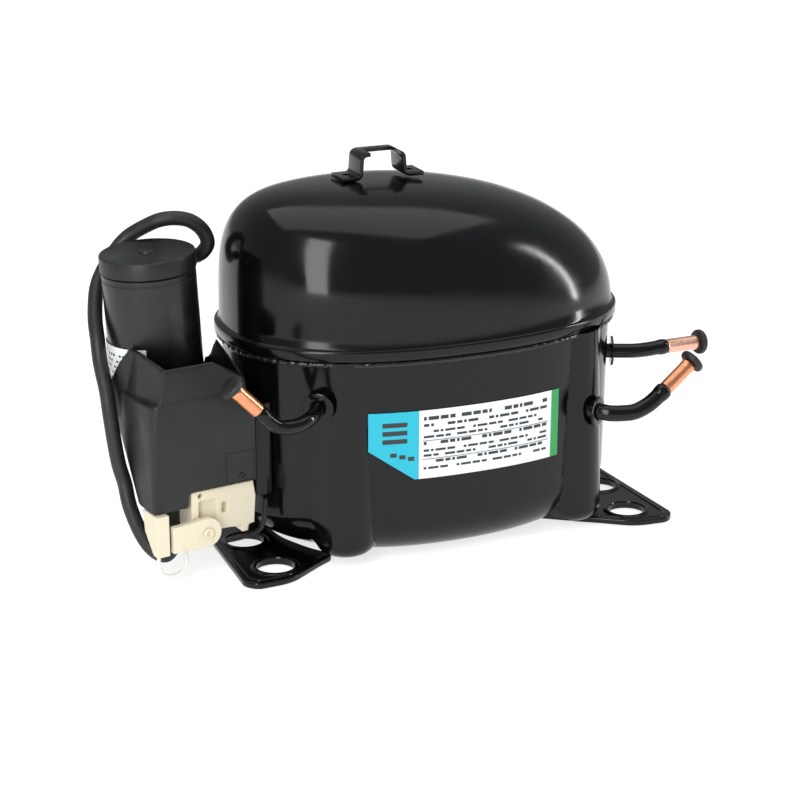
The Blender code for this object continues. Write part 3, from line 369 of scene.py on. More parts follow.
def apply_modifiers(obj):
    mesh = evaluated_mesh(obj)
    obj.modifiers.clear()
    obj.data = mesh


def moulded(node, voxel, passes):
    """A copy of a CAD solid with its edges softened, the way a moulding's are."""
    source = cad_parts[node]
    obj = bpy.data.objects.new(node + "_moulding", source.data.copy())
    bpy.context.scene.collection.objects.link(obj)
    remesh = obj.modifiers.new("remesh", "REMESH")
    remesh.mode = "VOXEL"
    remesh.voxel_size = voxel
    soften = obj.modifiers.new("soften", "SMOOTH")
    soften.factor = 0.5
    soften.iterations = passes
    apply_modifiers(obj)
    return obj


# ---------------- materials


class Finish:
    """A Principled material with procedural colour, roughness and bump in object space."""

    def __init__(self, name, colour, roughness, metallic=0.0, specular=0.5):
        self.material = bpy.data.materials.new(name)
        self.material.use_nodes = True
        self.nodes = self.material.node_tree.nodes
        self.links = self.material.node_tree.links
        self.shader = self.nodes["Principled BSDF"]
        self.shader.inputs["Base Color"].default_value = (*colour, 1.0)
        self.shader.inputs["Roughness"].default_value = roughness
        self.shader.inputs["Metallic"].default_value = metallic
        self.shader.inputs["Specular IOR Level"].default_value = specular
        self.colour = colour
        self.place = self.nodes.new("ShaderNodeTexCoord").outputs["Object"]
        self.height = None

    def stretched(self, scale):
        """Object coordinates multiplied by this scale; a small number draws a pattern out."""
        mapping = self.nodes.new("ShaderNodeMapping")
        mapping.inputs["Scale"].default_value = scale
        self.links.new(self.place, mapping.inputs["Vector"])
        return mapping.outputs["Vector"]

    def noise(self, scale, detail=3.0, stretch=(1, 1, 1)):
        made = self.nodes.new("ShaderNodeTexNoise")
        made.inputs["Scale"].default_value = scale
        made.inputs["Detail"].default_value = detail
        made.inputs["Roughness"].default_value = 0.55
        self.links.new(self.stretched(stretch), made.inputs["Vector"])
        return made.outputs["Fac"]

    def cells(self, scale):
        made = self.nodes.new("ShaderNodeTexVoronoi")
        made.inputs["Scale"].default_value = scale
        self.links.new(self.place, made.inputs["Vector"])
        return made.outputs["Distance"]

    def bands(self, scale, distortion=0.0):
        """Level stripes, one above the other."""
        made = self.nodes.new("ShaderNodeTexWave")
        made.bands_direction = "Z"
        made.inputs["Scale"].default_value = scale
        made.inputs["Distortion"].default_value = distortion
        self.links.new(self.place, made.inputs["Vector"])
        return made.outputs["Fac"]

    def ranged(self, value, start, stop, low_value, high_value):
        """Maps start to stop onto the low to the high value."""
        made = self.nodes.new("ShaderNodeMapRange")
        made.inputs["From Min"].default_value = start
        made.inputs["From Max"].default_value = stop
        made.inputs["To Min"].default_value = low_value
        made.inputs["To Max"].default_value = high_value
        self.links.new(value, made.inputs["Value"])
        return made.outputs["Result"]

    def tint(self, mask, other):
        """Mixes the colour made so far towards the other one where the mask is high."""
        mix = self.nodes.new("ShaderNodeMix")
        mix.data_type = "RGBA"
        socket = self.shader.inputs["Base Color"]
        if socket.is_linked:
            self.links.new(socket.links[0].from_socket, mix.inputs[6])
        else:
            mix.inputs[6].default_value = (*self.colour, 1.0)
        mix.inputs[7].default_value = (*other, 1.0)
        self.links.new(mask, mix.inputs[0])
        self.links.new(mix.outputs[2], socket)

    def rough(self, value):
        self.links.new(value, self.shader.inputs["Roughness"])

    def bump(self, value, strength, distance):
        """Adds this relief on top of any earlier one."""
        made = self.nodes.new("ShaderNodeBump")
        made.inputs["Strength"].default_value = strength
        made.inputs["Distance"].default_value = distance
        self.links.new(value, made.inputs["Height"])
        if self.height is not None:
            self.links.new(self.height, made.inputs["Normal"])
        self.height = made.outputs["Normal"]
        self.links.new(self.height, self.shader.inputs["Normal"])


def black_paint():
    made = Finish("black_paint", (0.0020, 0.0021, 0.0024), 0.14, specular=0.32)
    made.rough(made.ranged(made.noise(38.0, 4.0), 0.35, 0.75, 0.10, 0.24))
    dust = made.ranged(made.noise(900.0, 2.0), 0.66, 0.80, 0.0, 0.25)
    made.tint(dust, (0.020, 0.021, 0.024))
    made.bump(made.noise(300.0, 2.0), 0.05, 0.00025)
    made.bump(made.noise(45.0, 1.0), 0.06, 0.0008)
    return made.material


def weld_paint():
    made = Finish("weld_paint", (0.006, 0.006, 0.007), 0.22)
    made.bump(made.cells(420.0), 0.35, 0.0004)
    made.rough(made.ranged(made.noise(200.0), 0.3, 0.7, 0.14, 0.34))
    return made.material


def moulded_plastic(name, colour, roughness, scuff):
    made = Finish(name, colour, roughness)
    made.rough(made.ranged(made.noise(60.0, 4.0), 0.3, 0.7, roughness - 0.10, roughness + 0.12))
    scratches = made.ranged(made.noise(170.0, 5.0, (1.0, 1.0, 0.12)), 0.60, 0.72, 0.0, 0.30)
    made.tint(scratches, scuff)
    made.bump(made.noise(1600.0, 2.0), 0.10, 0.00012)
    return made.material


def rubber():
    made = Finish("black_rubber", (0.012, 0.012, 0.013), 0.5)
    made.rough(made.ranged(made.noise(150.0, 4.0), 0.3, 0.7, 0.38, 0.62))
    made.tint(made.ranged(made.noise(420.0, 4.0), 0.60, 0.75, 0.0, 0.35), (0.045, 0.045, 0.048))
    made.bump(made.noise(1200.0, 3.0), 0.15, 0.00012)
    return made.material


def film(name, colour):
    made = Finish(name, colour, 0.32)
    made.rough(made.ranged(made.noise(120.0, 3.0), 0.3, 0.7, 0.24, 0.42))
    stains = made.ranged(made.noise(300.0, 5.0), 0.62, 0.78, 0.0, 0.35)
    made.tint(stains, tuple(0.7 * c for c in colour))
    made.bump(made.noise(90.0, 2.0), 0.08, 0.0003)
    return made.material


def metal(name, colour, roughness, stretch, tarnish, grain=700.0):
    """A worked metal: its grain is drawn out along the axis with the smallest stretch."""
    made = Finish(name, colour, roughness, 1.0)
    lines = made.noise(grain, 3.0, stretch)
    made.rough(made.ranged(lines, 0.3, 0.7, roughness - 0.08, roughness + 0.12))
    made.tint(made.ranged(made.noise(80.0, 5.0), 0.50, 0.75, 0.0, 0.6), tarnish)
    made.bump(lines, 0.12, 0.00012)
    return made.material


def cast_iron():
    made = Finish("cast_iron", (0.12, 0.12, 0.125), 0.6, 0.8)
    made.rough(made.ranged(made.noise(90.0, 4.0), 0.3, 0.7, 0.50, 0.75))
    made.tint(made.ranged(made.noise(50.0, 4.0), 0.5, 0.75, 0.0, 0.5), (0.07, 0.062, 0.055))
    made.bump(made.cells(650.0), 0.30, 0.0003)
    return made.material


def laminations():
    made = Finish("electrical_steel", (0.20, 0.20, 0.22), 0.45, 0.9)
    sheets = made.bands(320.0)
    made.tint(made.ranged(sheets, 0.0, 0.35, 0.8, 0.0), (0.03, 0.03, 0.035))
    made.bump(sheets, 0.5, 0.0003)
    made.rough(made.ranged(made.noise(150.0, 4.0), 0.3, 0.7, 0.35, 0.6))
    return made.material


def windings():
    made = Finish("winding_copper", (0.52, 0.17, 0.05), 0.35, 0.9)
    wires = made.bands(260.0, 2.5)
    made.tint(made.ranged(wires, 0.0, 0.5, 0.85, 0.0), (0.13, 0.035, 0.012))
    made.bump(wires, 0.8, 0.0005)
    made.rough(made.ranged(made.noise(90.0, 4.0), 0.3, 0.7, 0.28, 0.5))
    return made.material


PAINT = black_paint()
WELD = weld_paint()
PLASTIC = moulded_plastic("black_plastic", (0.0035, 0.0037, 0.0045), 0.42, (0.012, 0.013, 0.016))
SLEEVE = moulded_plastic("black_sleeve", (0.006, 0.006, 0.007), 0.30, (0.020, 0.020, 0.022))
CREAM = moulded_plastic("white_plastic", (0.76, 0.69, 0.52), 0.42, (0.60, 0.52, 0.37))
NYLON = moulded_plastic("clear_nylon", (0.80, 0.79, 0.74), 0.35, (0.66, 0.64, 0.58))
RUBBER = rubber()
WHITE_FILM = film("label_white", (0.80, 0.83, 0.84))
CYAN_FILM = film("label_cyan", (0.010, 0.46, 0.60))
GREEN_FILM = film("label_green", (0.02, 0.32, 0.08))
INK = film("label_ink", (0.025, 0.030, 0.035))
DRAWN = (1.0, 1.0, 0.25)
COPPER = metal("copper", (0.83, 0.36, 0.19), 0.28, DRAWN, (0.45, 0.16, 0.07), 500.0)
PALE_COPPER = metal("pale_copper", (0.86, 0.50, 0.38), 0.30, DRAWN, (0.60, 0.28, 0.18), 500.0)
STEEL = metal("steel", (0.45, 0.45, 0.46), 0.30, (1.0, 1.0, 0.08), (0.26, 0.25, 0.24))
SPRING_STEEL = metal("spring_steel", (0.33, 0.33, 0.34), 0.28, (1.0, 0.3, 1.0), (0.16, 0.15, 0.14))
ALUMINIUM = metal("aluminium", (0.62, 0.63, 0.64), 0.38, (1.0, 1.0, 0.6), (0.42, 0.42, 0.42), 400.0)
CAST_IRON = cast_iron()
LAMINATIONS = laminations()
WINDINGS = windings()


# ---------------- shell


def fall(part, power):
    """How much of a dome's reach is left at this part of its height."""
    return (1 - part**power) ** (1 / power)


def plan_point(angle, left, right, half_depth, power=PLAN_POWER, centre=(0.0, 0.0)):
    """A point on a superellipse whose reach to the left and to the right may differ."""
    c, s = math.cos(angle), math.sin(angle)
    along = right if c > 0 else left
    x = centre[0] + math.copysign(along * abs(c) ** (2 / power), c)
    return x, centre[1] + math.copysign(half_depth * abs(s) ** (2 / power), s)


def plan_ring(left, right, half_depth, z, power=PLAN_POWER, centre=(0.0, 0.0), steps=180):
    made = []
    for k in range(steps):
        x, y = plan_point(2 * math.pi * k / steps, left, right, half_depth, power, centre)
        made.append((x, y, z))
    return made


def bowl_half(z, inset):
    """Half length and half depth of the bowl at this height; its foot curves in to the floor."""
    a, b = LOWER_HALF[0] - inset, LOWER_HALF[1] - inset
    up = z - LOWER_FLOOR - inset
    if up >= BOWL_RISE:
        part = min(1.0, (up - BOWL_RISE) / (LOWER_TOP - LOWER_FLOOR - BOWL_RISE))
        draft = 1 - BOWL_DRAFT * (1 - part)
        return a * draft, b * draft
    angle = math.acos(max(0.0, min(1.0, 1 - up / BOWL_RISE)))
    tuck = 1 - math.sin(angle)
    return a * (1 - BOWL_DRAFT) - BOWL_ROUND[0] * tuck, b * (1 - BOWL_DRAFT) - BOWL_ROUND[1] * tuck


def column_radius(z, inset):
    """Radius of a corner column at this height; its foot is rounded off."""
    bottom = COLUMN_BOTTOM + inset
    rise = COLUMN_ROUND - inset
    if z <= bottom:
        return 0.0
    part = (z - bottom - rise) / (COLUMN_TOP - bottom - rise)
    if part > 0:
        return COLUMN_RADIUS[0] + (COLUMN_RADIUS[1] - COLUMN_RADIUS[0]) * min(part, 1.0) - inset
    angle = math.asin(max(0.0, min(1.0, 1 - (z - bottom) / rise)))
    return (COLUMN_RADIUS[0] - inset) * math.cos(angle) ** 0.6


def bowl_reach(way, z, inset):
    """How far the bowl's wall with its blended corner columns lies along this way from the axis."""
    a, b = bowl_half(z, inset)
    reach = (abs(way[0] / a) ** PLAN_POWER + abs(way[1] / b) ** PLAN_POWER) ** (-1 / PLAN_POWER)
    radius = column_radius(z, inset)
    for x in COLUMN_X:
        for y in (-COLUMN_Y, COLUMN_Y):
            along = x * way[0] + y * way[1]
            off = x * way[1] - y * way[0]
            if along <= 0 or abs(off) >= radius:
                continue
            far = along + math.sqrt(radius**2 - off**2)
            blend = max(0.0, COLUMN_BLEND - abs(reach - far)) / COLUMN_BLEND
            reach = max(reach, far) + blend**2 * COLUMN_BLEND * 0.25
    return reach


def bowl_angles():
    """Angles round the axis, closer together where the corner columns stand."""
    made = [2 * math.pi * k / 200 for k in range(200)]
    for x in COLUMN_X:
        for y in (-COLUMN_Y, COLUMN_Y):
            middle = math.atan2(y, x) % (2 * math.pi)
            made += [middle + 0.006 * k + 0.003 for k in range(-55, 56)]
    made = sorted(made)
    kept = [made[0]]
    for angle in made[1:]:
        if angle - kept[-1] > 0.0035:
            kept.append(angle)
    return kept


def bowl_rings(inset):
    """The bowl from the middle of its floor up to its edge."""
    floor, top = LOWER_FLOOR + inset, LOWER_TOP
    angles = bowl_angles()
    heights = [floor + BOWL_RISE * (1 - math.cos(math.radians(90 * k / 34))) for k in range(34)]
    heights += [floor + BOWL_RISE + (top - floor - BOWL_RISE) * k / 44 for k in range(45)]
    rings = [[(0.0, 0.0, floor)]]
    for z in heights:
        ring = []
        for angle in angles:
            way = (math.cos(angle), math.sin(angle))
            reach = bowl_reach(way, z, inset)
            ring.append((way[0] * reach, way[1] * reach, z))
        rings.append(ring)
    return rings


def lower_shell():
    rings = bowl_rings(0.0) + bowl_rings(WALL)[::-1]
    obj = skin("lower_shell_pressing", rings, place=SHELL_PLACE)
    finish_piece(obj, PAINT, "shell", "black_paint", "lower_shell", smooth=50.0)


def dome_rings(inset, steps=44):
    """The dome from its foot to its top, which stands left of the shell's middle."""
    rise = DOME_TOP - inset - DOME_FOOT
    half_x, half_y = [value - inset for value in DOME_HALF]
    left, right = half_x + DOME_CENTRE[0], half_x - DOME_CENTRE[0]
    rings = []
    for k in range(steps):
        part = math.sin(math.radians(90 * k / steps)) ** (2 / DOME_POWERS["depth"])
        slide = DOME_CENTRE[0] * (1 - part)
        rings.append(
            plan_ring(
                left * fall(part, DOME_POWERS["left"]) - slide,
                right * fall(part, DOME_POWERS["right"]) + slide,
                half_y * fall(part, DOME_POWERS["depth"]),
                DOME_FOOT + rise * part,
                PLAN_POWER - 0.2 * part,
                (DOME_CENTRE[0] * part, DOME_CENTRE[1] * part),
            )
        )
    rings.append([(*DOME_CENTRE, DOME_TOP - inset)])
    return rings


def upper_shell():
    def lip(inset, z):
        return plan_ring(LIP_HALF[0] - inset, LIP_HALF[0] - inset, LIP_HALF[1] - inset, z)

    rim = [lip(0.0006, LIP_BOTTOM), lip(0.0001, LIP_BOTTOM + 0.0005)]
    for k in range(6):
        angle = math.radians(90 * k / 5)
        rim.append(lip(0.0012 * (1 - math.cos(angle)), LIP_TOP - 0.0012 * (1 - math.sin(angle))))
    foot = DOME_HALF[0] - WALL
    inner_foot = plan_ring(foot, foot, DOME_HALF[1] - WALL, LIP_BOTTOM)
    rings = rim + dome_rings(0.0) + dome_rings(WALL)[::-1] + [inner_foot]
    obj = skin("upper_shell_pressing", rings, closed=True, place=SHELL_PLACE)
    finish_piece(obj, PAINT, "shell", "black_paint", "upper_shell", smooth=50.0)


def weld_seam():
    """The bead's ripples stand out at the shell's left end and fade towards the right."""
    bead, middle, steps = 0.0011, LIP_BOTTOM - 0.0014, 720
    rings = []
    for k in range(steps):
        angle = 2 * math.pi * k / steps
        strength = 0.5 - 0.5 * math.cos(angle)
        ripple = math.sin(95 * angle) + 0.6 * math.sin(151 * angle + 1.0)
        radius = bead * (1.0 + (0.05 + 0.10 * strength) * ripple)
        way = plan_point(angle, 1.0, 1.0, LOWER_HALF[1] / LOWER_HALF[0])
        ring = []
        for j in range(12):
            turn = 2 * math.pi * j / 12
            out = LOWER_HALF[0] + bead + 0.0001 + radius * math.cos(turn)
            ring.append((way[0] * out, way[1] * out, middle + radius * math.sin(turn)))
        rings.append(ring)
    obj = skin("weld_bead", rings, closed=True, place=SHELL_PLACE)
    finish_piece(obj, WELD, "shell", "black_paint", "weld_seam", smooth=60.0)


def boolean(obj, operation, *others):
    """Joins closed meshes to this one, or cuts them from it, and removes them."""
    for other in others:
        step = obj.modifiers.new("boolean", "BOOLEAN")
        step.operation = operation
        step.solver = "EXACT"
        step.object = other
    apply_modifiers(obj)
    for other in others:
        bpy.data.objects.remove(other, do_unlink=True)


def base_plates():
    """Two pressed plates, with a rim round each round hole and a fold along the front edge."""
    back, front = HOLE_CENTRE_Y + HOLE_REACH_Y, HOLE_CENTRE_Y - HOLE_REACH_Y
    outline = [
        (0.0968, HOLE_CENTRE_Y),
        (0.1000, front - 0.0100),
        (0.0955, front - 0.0150),
        (0.0800, front - 0.0140),
        (0.0635, front - 0.0020),
        (0.0545, front + 0.0035),
        (0.0620, front + 0.0135),
        (0.0690, front + 0.0300),
        (0.0700, HOLE_CENTRE_Y - 0.0081),
        (0.0690, back - 0.0460),
        (0.0620, back - 0.0300),
        (0.0560, back - 0.0170),
        (0.0660, back - 0.0080),
        (0.0800, back + 0.0142),
        (0.0955, back + 0.0150),
        (0.1000, back + 0.0100),
    ]
    centres = [(HOLE_X[0], front), (HOLE_X[1], back - 0.0700)]
    slot = arc((HOLE_X[0], back), HOLE, 90, 270, 24) + arc((HOLE_X[1], back), HOLE, -90, 90, 24)
    holes = [slot] + [circle(centre, HOLE, 56) for centre in centres]
    fold = [(0.0945, HOLE_CENTRE_Y - 0.004), (0.0965, front - 0.0080), (0.0935, front - 0.0115)]
    fold += [(0.0815, front - 0.0108), (0.0690, front - 0.0020)]
    rim = [(HOLE, 0.0012), (HOLE, 0.0028), (HOLE + 0.0004, 0.0033), (HOLE + 0.0011, 0.0034)]
    rim += [(HOLE + 0.0018, 0.0031), (HOLE + 0.0026, 0.0024), (HOLE + 0.0026, 0.0012)]
    outlines = [rounded(outline, 0.006, 8), *holes]
    for name, side in (("left", -1), ("right", 1)):
        turned = [[(side * x, y) for x, y in one] for one in outlines]
        plate = slab(f"base_plate_{name}_pressing", turned, PLATE_THICK, 0.0005, SHELL_PLACE)
        raised = []
        for x, y in centres:
            place = SHELL_PLACE @ Matrix.Translation((side * x, y, 0.0))
            raised.append(lathe("rim", rim, place, 56))
        path = [(side * x, y, 0.0021) for x, y in rounded(fold, 0.004, 6, closed=False)]
        raised.append(sweep("fold", path, [0.0009] * len(path), SHELL_PLACE, 12))
        boolean(plate, "UNION", *raised)
        finish_piece(plate, PAINT, "shell", "black_paint", f"base_plate_{name}")


def bracket_line(thick, foot, riser, rise):
    """The strap's section, as a closed outline with rounded bends."""
    line = [(-riser - foot, 0.0), (-riser, 0.0), (-riser + 0.0006, rise), (riser - 0.0006, rise)]
    line = rounded(line + [(riser, 0.0), (riser + foot, 0.0)], 0.0026, 8, closed=False)
    line = [Vector(point) for point in line]
    upper, lower = [], []
    for k, point in enumerate(line):
        before = (line[max(k, 1)] - line[max(k, 1) - 1]).normalized()
        after = (line[min(k + 1, len(line) - 1)] - line[min(k, len(line) - 2)]).normalized()
        middle = (before + after).normalized()
        across = Vector((-middle.y, middle.x)) * (thick / 2)
        upper.append(tuple(point + across))
        lower.append(tuple(point - across))
    return upper + lower[::-1]


def top_bracket():
    """A bent strap; the front of its bridge is cut away and leaves a lobe on each riser."""
    thick, width = 0.0016, 0.0135
    place = SHELL_PLACE @ Matrix.Translation((-0.0177, 0.0085, DOME_TOP + thick / 2 + GAP))
    outline = bracket_line(thick, 0.0085, 0.0100, 0.0098)
    strap = slab("lifting_bracket_strap", [outline], width, 0.0003, place @ FACING_FRONT)
    window = rounded(oblong(-0.0058, 0.0078, 0.0038, 0.0200), 0.0012)
    front = place @ Matrix.Translation((0, -0.0040, 0)) @ FACING_FRONT
    cutters = [slab("window", [window], 0.0200, 0.0002, front)]
    for x in (-0.0142, 0.0142):
        hole = [(0.0, -0.004), (0.0017, -0.004), (0.0017, 0.004), (0.0, 0.004)]
        cutters.append(lathe("hole", hole, place @ Matrix.Translation((x, -0.0066, 0)), 32))
    over = place @ Matrix.Translation((0, 0, 0.004))
    for x in (-0.0022, 0.0016):
        slit = rounded(oblong(x, x + 0.0004, -0.0030, -0.0012), 0.0001, 2)
        cutters.append(slab("slit", [slit], 0.0200, 0.00005, over))
    boolean(strap, "DIFFERENCE", *cutters)
    finish_piece(strap, PAINT, "shell", "black_paint", "top_bracket")


def wall_point(x, z, off):
    """A point this far off the front of the bowl."""
    a, b = bowl_half(z, 0.0)
    y = -b * (1 - abs(x / a) ** PLAN_POWER) ** (1 / PLAN_POWER)
    slope = b / a * abs(x / a) ** (PLAN_POWER - 1) * abs(y / b) ** (1 - PLAN_POWER)
    outward = Vector((math.copysign(slope, x), -1.0, 0.0)).normalized()
    return Vector((x, y, z)) + outward * off


def patch(bm, x_span, z_span, off, thick, columns, slant=0.0):
    """Adds a thin closed sheet on the bowl's front; a slant cuts off its lower left corner."""
    (left, right), (bottom, top) = x_span, z_span
    rings = []
    rows = max(1, round((top - bottom) / 0.0015))
    for row in range(rows + 1):
        z = bottom + (top - bottom) * row / rows
        cut_in = slant * max(0.0, 1 - (z - bottom) / 0.0135)
        xs = [left + cut_in + (right - left - cut_in) * k / columns for k in range(columns + 1)]
        near = [wall_point(x, z, off) for x in xs]
        far = [wall_point(x, z, off + thick) for x in xs]
        rings.append([bm.verts.new(p) for p in near + far[::-1]])
    for first, second in zip(rings, rings[1:]):
        for k in range(len(first)):
            bm.faces.new((first[k - 1], first[k], second[k], second[k - 1]))
    bm.faces.new(rings[0])
    bm.faces.new(rings[-1])


def nameplate():
    """Three coloured panels with printed dashes, rules and bars that spell nothing."""
    panels = (
        ("nameplate_cyan", CYAN_FILM, (PLATE_LEFT, CYAN_END), 0.0190, 12),
        ("nameplate_white", WHITE_FILM, (CYAN_END, GREEN_START), 0.0, 32),
        ("nameplate_green", GREEN_FILM, (GREEN_START, PLATE_RIGHT), 0.0, 3),
    )
    for name, material, x_span, slant, columns in panels:
        bm = bmesh.new()
        patch(bm, x_span, (PLATE_BOTTOM, PLATE_TOP), GAP, FILM_THICK, columns, slant)
        panel = new_object(name, bm, SHELL_PLACE)
        finish_piece(panel, material, "shell", "label_film", "nameplate")

    bm = bmesh.new()

    def ink(left, width, bottom, height, columns):
        patch(bm, (left, left + width), (bottom, bottom + height), PRINT_OFF, INK_THICK, columns)

    rows = [(0.0628, 0.0016), (0.0600, 0.0012), (0.0573, 0.0010), (0.0550, 0.0010)]
    rows += [(0.0520, 0.0014), (0.0490, 0.0010), (0.0468, 0.0010), (0.0440, 0.0012)]
    rows += [(0.0412, 0.0010)]
    for i, (z, height) in enumerate(rows):
        x, k = CYAN_END + 0.0020, 0
        while x < GREEN_START - 0.0045:
            length = 0.0012 + 0.0011 * ((3 * k + 5 * i) % 4)
            if (k + 2 * i) % 5 != 4:
                ink(x, length, z, height, 1)
            x += length + 0.0008
            k += 1
    for z in (0.0537, 0.0456):
        ink(CYAN_END + 0.0015, GREEN_START - CYAN_END - 0.0030, z, 0.00025, 24)
    for k in range(3):
        ink(-0.0352 + 0.0037 * k, 0.0026, 0.0476 - 0.0010 * k, 0.0018, 3)
        ink(-0.0384, 0.0102, 0.0535 + 0.0036 * k, 0.0020, 6)
    finish_piece(new_object("nameplate_print", bm, SHELL_PLACE), INK, "shell", "label_film")


# ---------------- tubes

# Each tube: its radius, the length and metal of its copper end, where and which way it leaves
# the shell, and its route.
TUBES = {
    "suction": {
        "radius": 0.0032,
        "copper": 0.0165,
        "metal": PALE_COPPER,
        "exit": Vector((0.0818, -0.0215, 0.0703)),
        "way": Vector((0.92, -0.39, 0.0)),
        "route": [
            (0.0763, -0.0192, 0.0703),
            (0.0818, -0.0215, 0.0703),
            (0.0871, -0.0238, 0.0702),
            (0.0930, -0.0258, 0.0701),
            (0.0985, -0.0269, 0.0703),
            (0.1035, -0.0272, 0.0706),
            (0.1082, -0.0268, 0.0705),
        ],
    },
    "process": {
        "radius": 0.0035,
        "copper": 0.0155,
        "metal": COPPER,
        "exit": Vector((0.0605, -0.0505, 0.0543)),
        "way": Vector((0.64, -0.77, 0.0)),
        "route": [
            (0.0567, -0.0459, 0.0543),
            (0.0605, -0.0505, 0.0543),
            (0.0628, -0.0532, 0.0544),
            (0.0662, -0.0560, 0.0541),
            (0.0711, -0.0573, 0.0539),
            (0.0768, -0.0578, 0.0540),
            (0.0828, -0.0578, 0.0561),
            (0.0876, -0.0576, 0.0592),
            (0.0917, -0.0570, 0.0621),
        ],
    },
    "discharge": {
        "radius": 0.0030,
        "copper": 0.0140,
        "metal": COPPER,
        "exit": Vector((-0.0632, -0.0455, 0.0715)),
        "way": Vector((-0.5875, -0.809, -0.10)),
        "route": [
            (-0.0590, -0.0398, 0.0722),
            (-0.0655, -0.0488, 0.0712),
            (-0.0712, -0.0552, 0.0700),
            (-0.0785, -0.0583, 0.0690),
            (-0.0865, -0.0588, 0.0703),
            (-0.0942, -0.0588, 0.0776),
        ],
    },
}


def along_way(place, way):
    """The shell's frame moved to this place, with its +Z turned along the way."""
    turn = Vector(way).to_track_quat("Z", "Y").to_matrix().to_4x4()
    return SHELL_PLACE @ Matrix.Translation(place) @ turn


def tube_assembly(name, data):
    """The steel pipe, its collar at the shell, its copper end and the stopper in that."""
    route = smooth_route(data["route"], 10)
    radii = []
    for k in range(len(route)):
        left = sum((route[j + 1] - route[j]).length for j in range(k, len(route) - 1))
        bell = max(0.0, 1 - abs(left - 0.0022) / 0.0022)
        radii.append(data["radius"] * (1 + 0.10 * bell**0.5))
    radii[-1] -= 0.0003
    pipe = sweep(f"{name}_pipe", route, radii, SHELL_PLACE)
    finish_piece(pipe, PAINT, "shell", "black_paint", f"{name}_tube", smooth=50.0)

    way = data["way"].normalized()
    hole, edge = data["radius"] + GAP, 0.0066
    ring = [(hole, 0.0), (hole, 0.0009), (hole + 0.0002, 0.0011), (edge - 0.0005, 0.0011)]
    ring += [(edge - 0.0001, 0.0009), (edge, 0.0006), (edge, 0.0002), (edge - 0.0002, 0.0)]
    collar = lathe(f"{name}_collar_disc", ring, along_way(data["exit"] + way * 0.0016, way))
    finish_piece(collar, PAINT, "shell", "black_paint", f"{name}_collar")

    along = (Vector(data["route"][-1]) - smooth_route(data["route"], 3)[-2]).normalized()
    place = along_way(Vector(data["route"][-1]) + along * GAP, along)
    bore, outer, end = 0.0024, 0.00315, data["copper"]
    ring = [(bore, 0.0), (outer - 0.0002, 0.0), (outer, 0.0002), (outer, end - 0.0030)]
    ring += [(outer + 0.00012, end - 0.0020), (outer + 0.0002, end - 0.0008), (outer, end - 0.0002)]
    ring += [(outer - 0.0002, end), (bore, end)]
    copper = lathe(f"{name}_copper_pipe", ring, place)
    finish_piece(copper, data["metal"], "shell", "copper", f"{name}_copper_end")

    head, stem = 0.0055, bore - GAP
    plug = [(0.0, 0.0028), (head - 0.0012, 0.0028), (head - 0.0004, 0.0025), (head, 0.0019)]
    plug += [(head, 0.0008), (head - 0.0003, 0.0002), (head - 0.0008, 0.0), (stem, 0.0)]
    plug += [(stem, -0.0062), (0.0015, -0.0079), (0.0, -0.0080)]
    stopper = lathe(f"{name}_stopper", plug, place @ Matrix.Translation((0, 0, end + GAP)))
    finish_piece(stopper, RUBBER, f"{name}_plug", "black_rubber", f"{name}_plug")


# ---------------- electrical box


def capacitor():
    """The sleeved can, its lid, and the label wrapped part of the way round it."""
    r, h = CAN_RADIUS, CAN_LENGTH
    can = [(0.0, h), (r - 0.0004, h), (r, h - 0.0004), (r, h - 0.0022), (r - 0.0002, h - 0.0024)]
    can += [(r - 0.0002, h - 0.0028), (r, h - 0.0030), (r, 0.0018), (r - 0.0005, 0.0006)]
    can += [(r - 0.0018, 0.0), (0.0, 0.0)]
    obj = lathe("capacitor_sleeve", can, CAN_PLACE, 128)
    finish_piece(obj, SLEEVE, "shell", "black_plastic", "capacitor_can")

    foot, rim = h + GAP, r + 0.0004
    top = foot + CAP_HEIGHT
    cap = [(0.0, top + 0.0008), (0.0026, top + 0.0008), (0.0032, top + 0.0005)]
    cap += [(0.0036, top - 0.0003), (rim - 0.0022, top - 0.0003), (rim - 0.0016, top)]
    cap += [(rim - 0.0007, top), (rim - 0.0002, top - 0.0003), (rim, top - 0.0009)]
    cap += [(rim, foot + 0.0003), (rim - 0.0003, foot), (0.0, foot)]
    obj = lathe("capacitor_lid", cap, CAN_PLACE, 128)
    finish_piece(obj, PLASTIC, "shell", "black_plastic", "capacitor_cap")

    inner, outer = r + 0.0002, r + 0.0005
    sheet = arc((0, 0), outer, 100, 234, 60) + arc((0, 0), inner, 234, 100, 60)
    place = CAN_PLACE @ Matrix.Translation((0, 0, 0.0085))
    obj = slab("capacitor_sticker", [sheet], 0.0190, 0.00005, place)
    finish_piece(obj, WHITE_FILM, "shell", "label_film", "capacitor_label")
    bm = bmesh.new()
    for row in range(6):
        for k in range(14):
            if (3 * k + 5 * row) % 4:
                capacitor_dash(bm, outer, 140 + 5.6 * k, 0.0105 + 0.0026 * row)
    finish_piece(new_object("capacitor_print", bm, CAN_PLACE), INK, "shell", "label_film")


def capacitor_dash(bm, radius, start, bottom):
    """A short raised dash round the can, from this angle in degrees."""
    corners = []
    for z in (bottom, bottom + 0.0009):
        outline = arc((0, 0), radius + 0.00006, start, start + 3.6, 2)
        outline += arc((0, 0), radius + 0.00002, start + 3.6, start, 2)
        corners.append([bm.verts.new((x, y, z)) for x, y in outline])
    for j in range(6):
        bm.faces.new((corners[0][j - 1], corners[0][j], corners[1][j], corners[1][j - 1]))
    bm.faces.new(corners[0])
    bm.faces.new(corners[1])


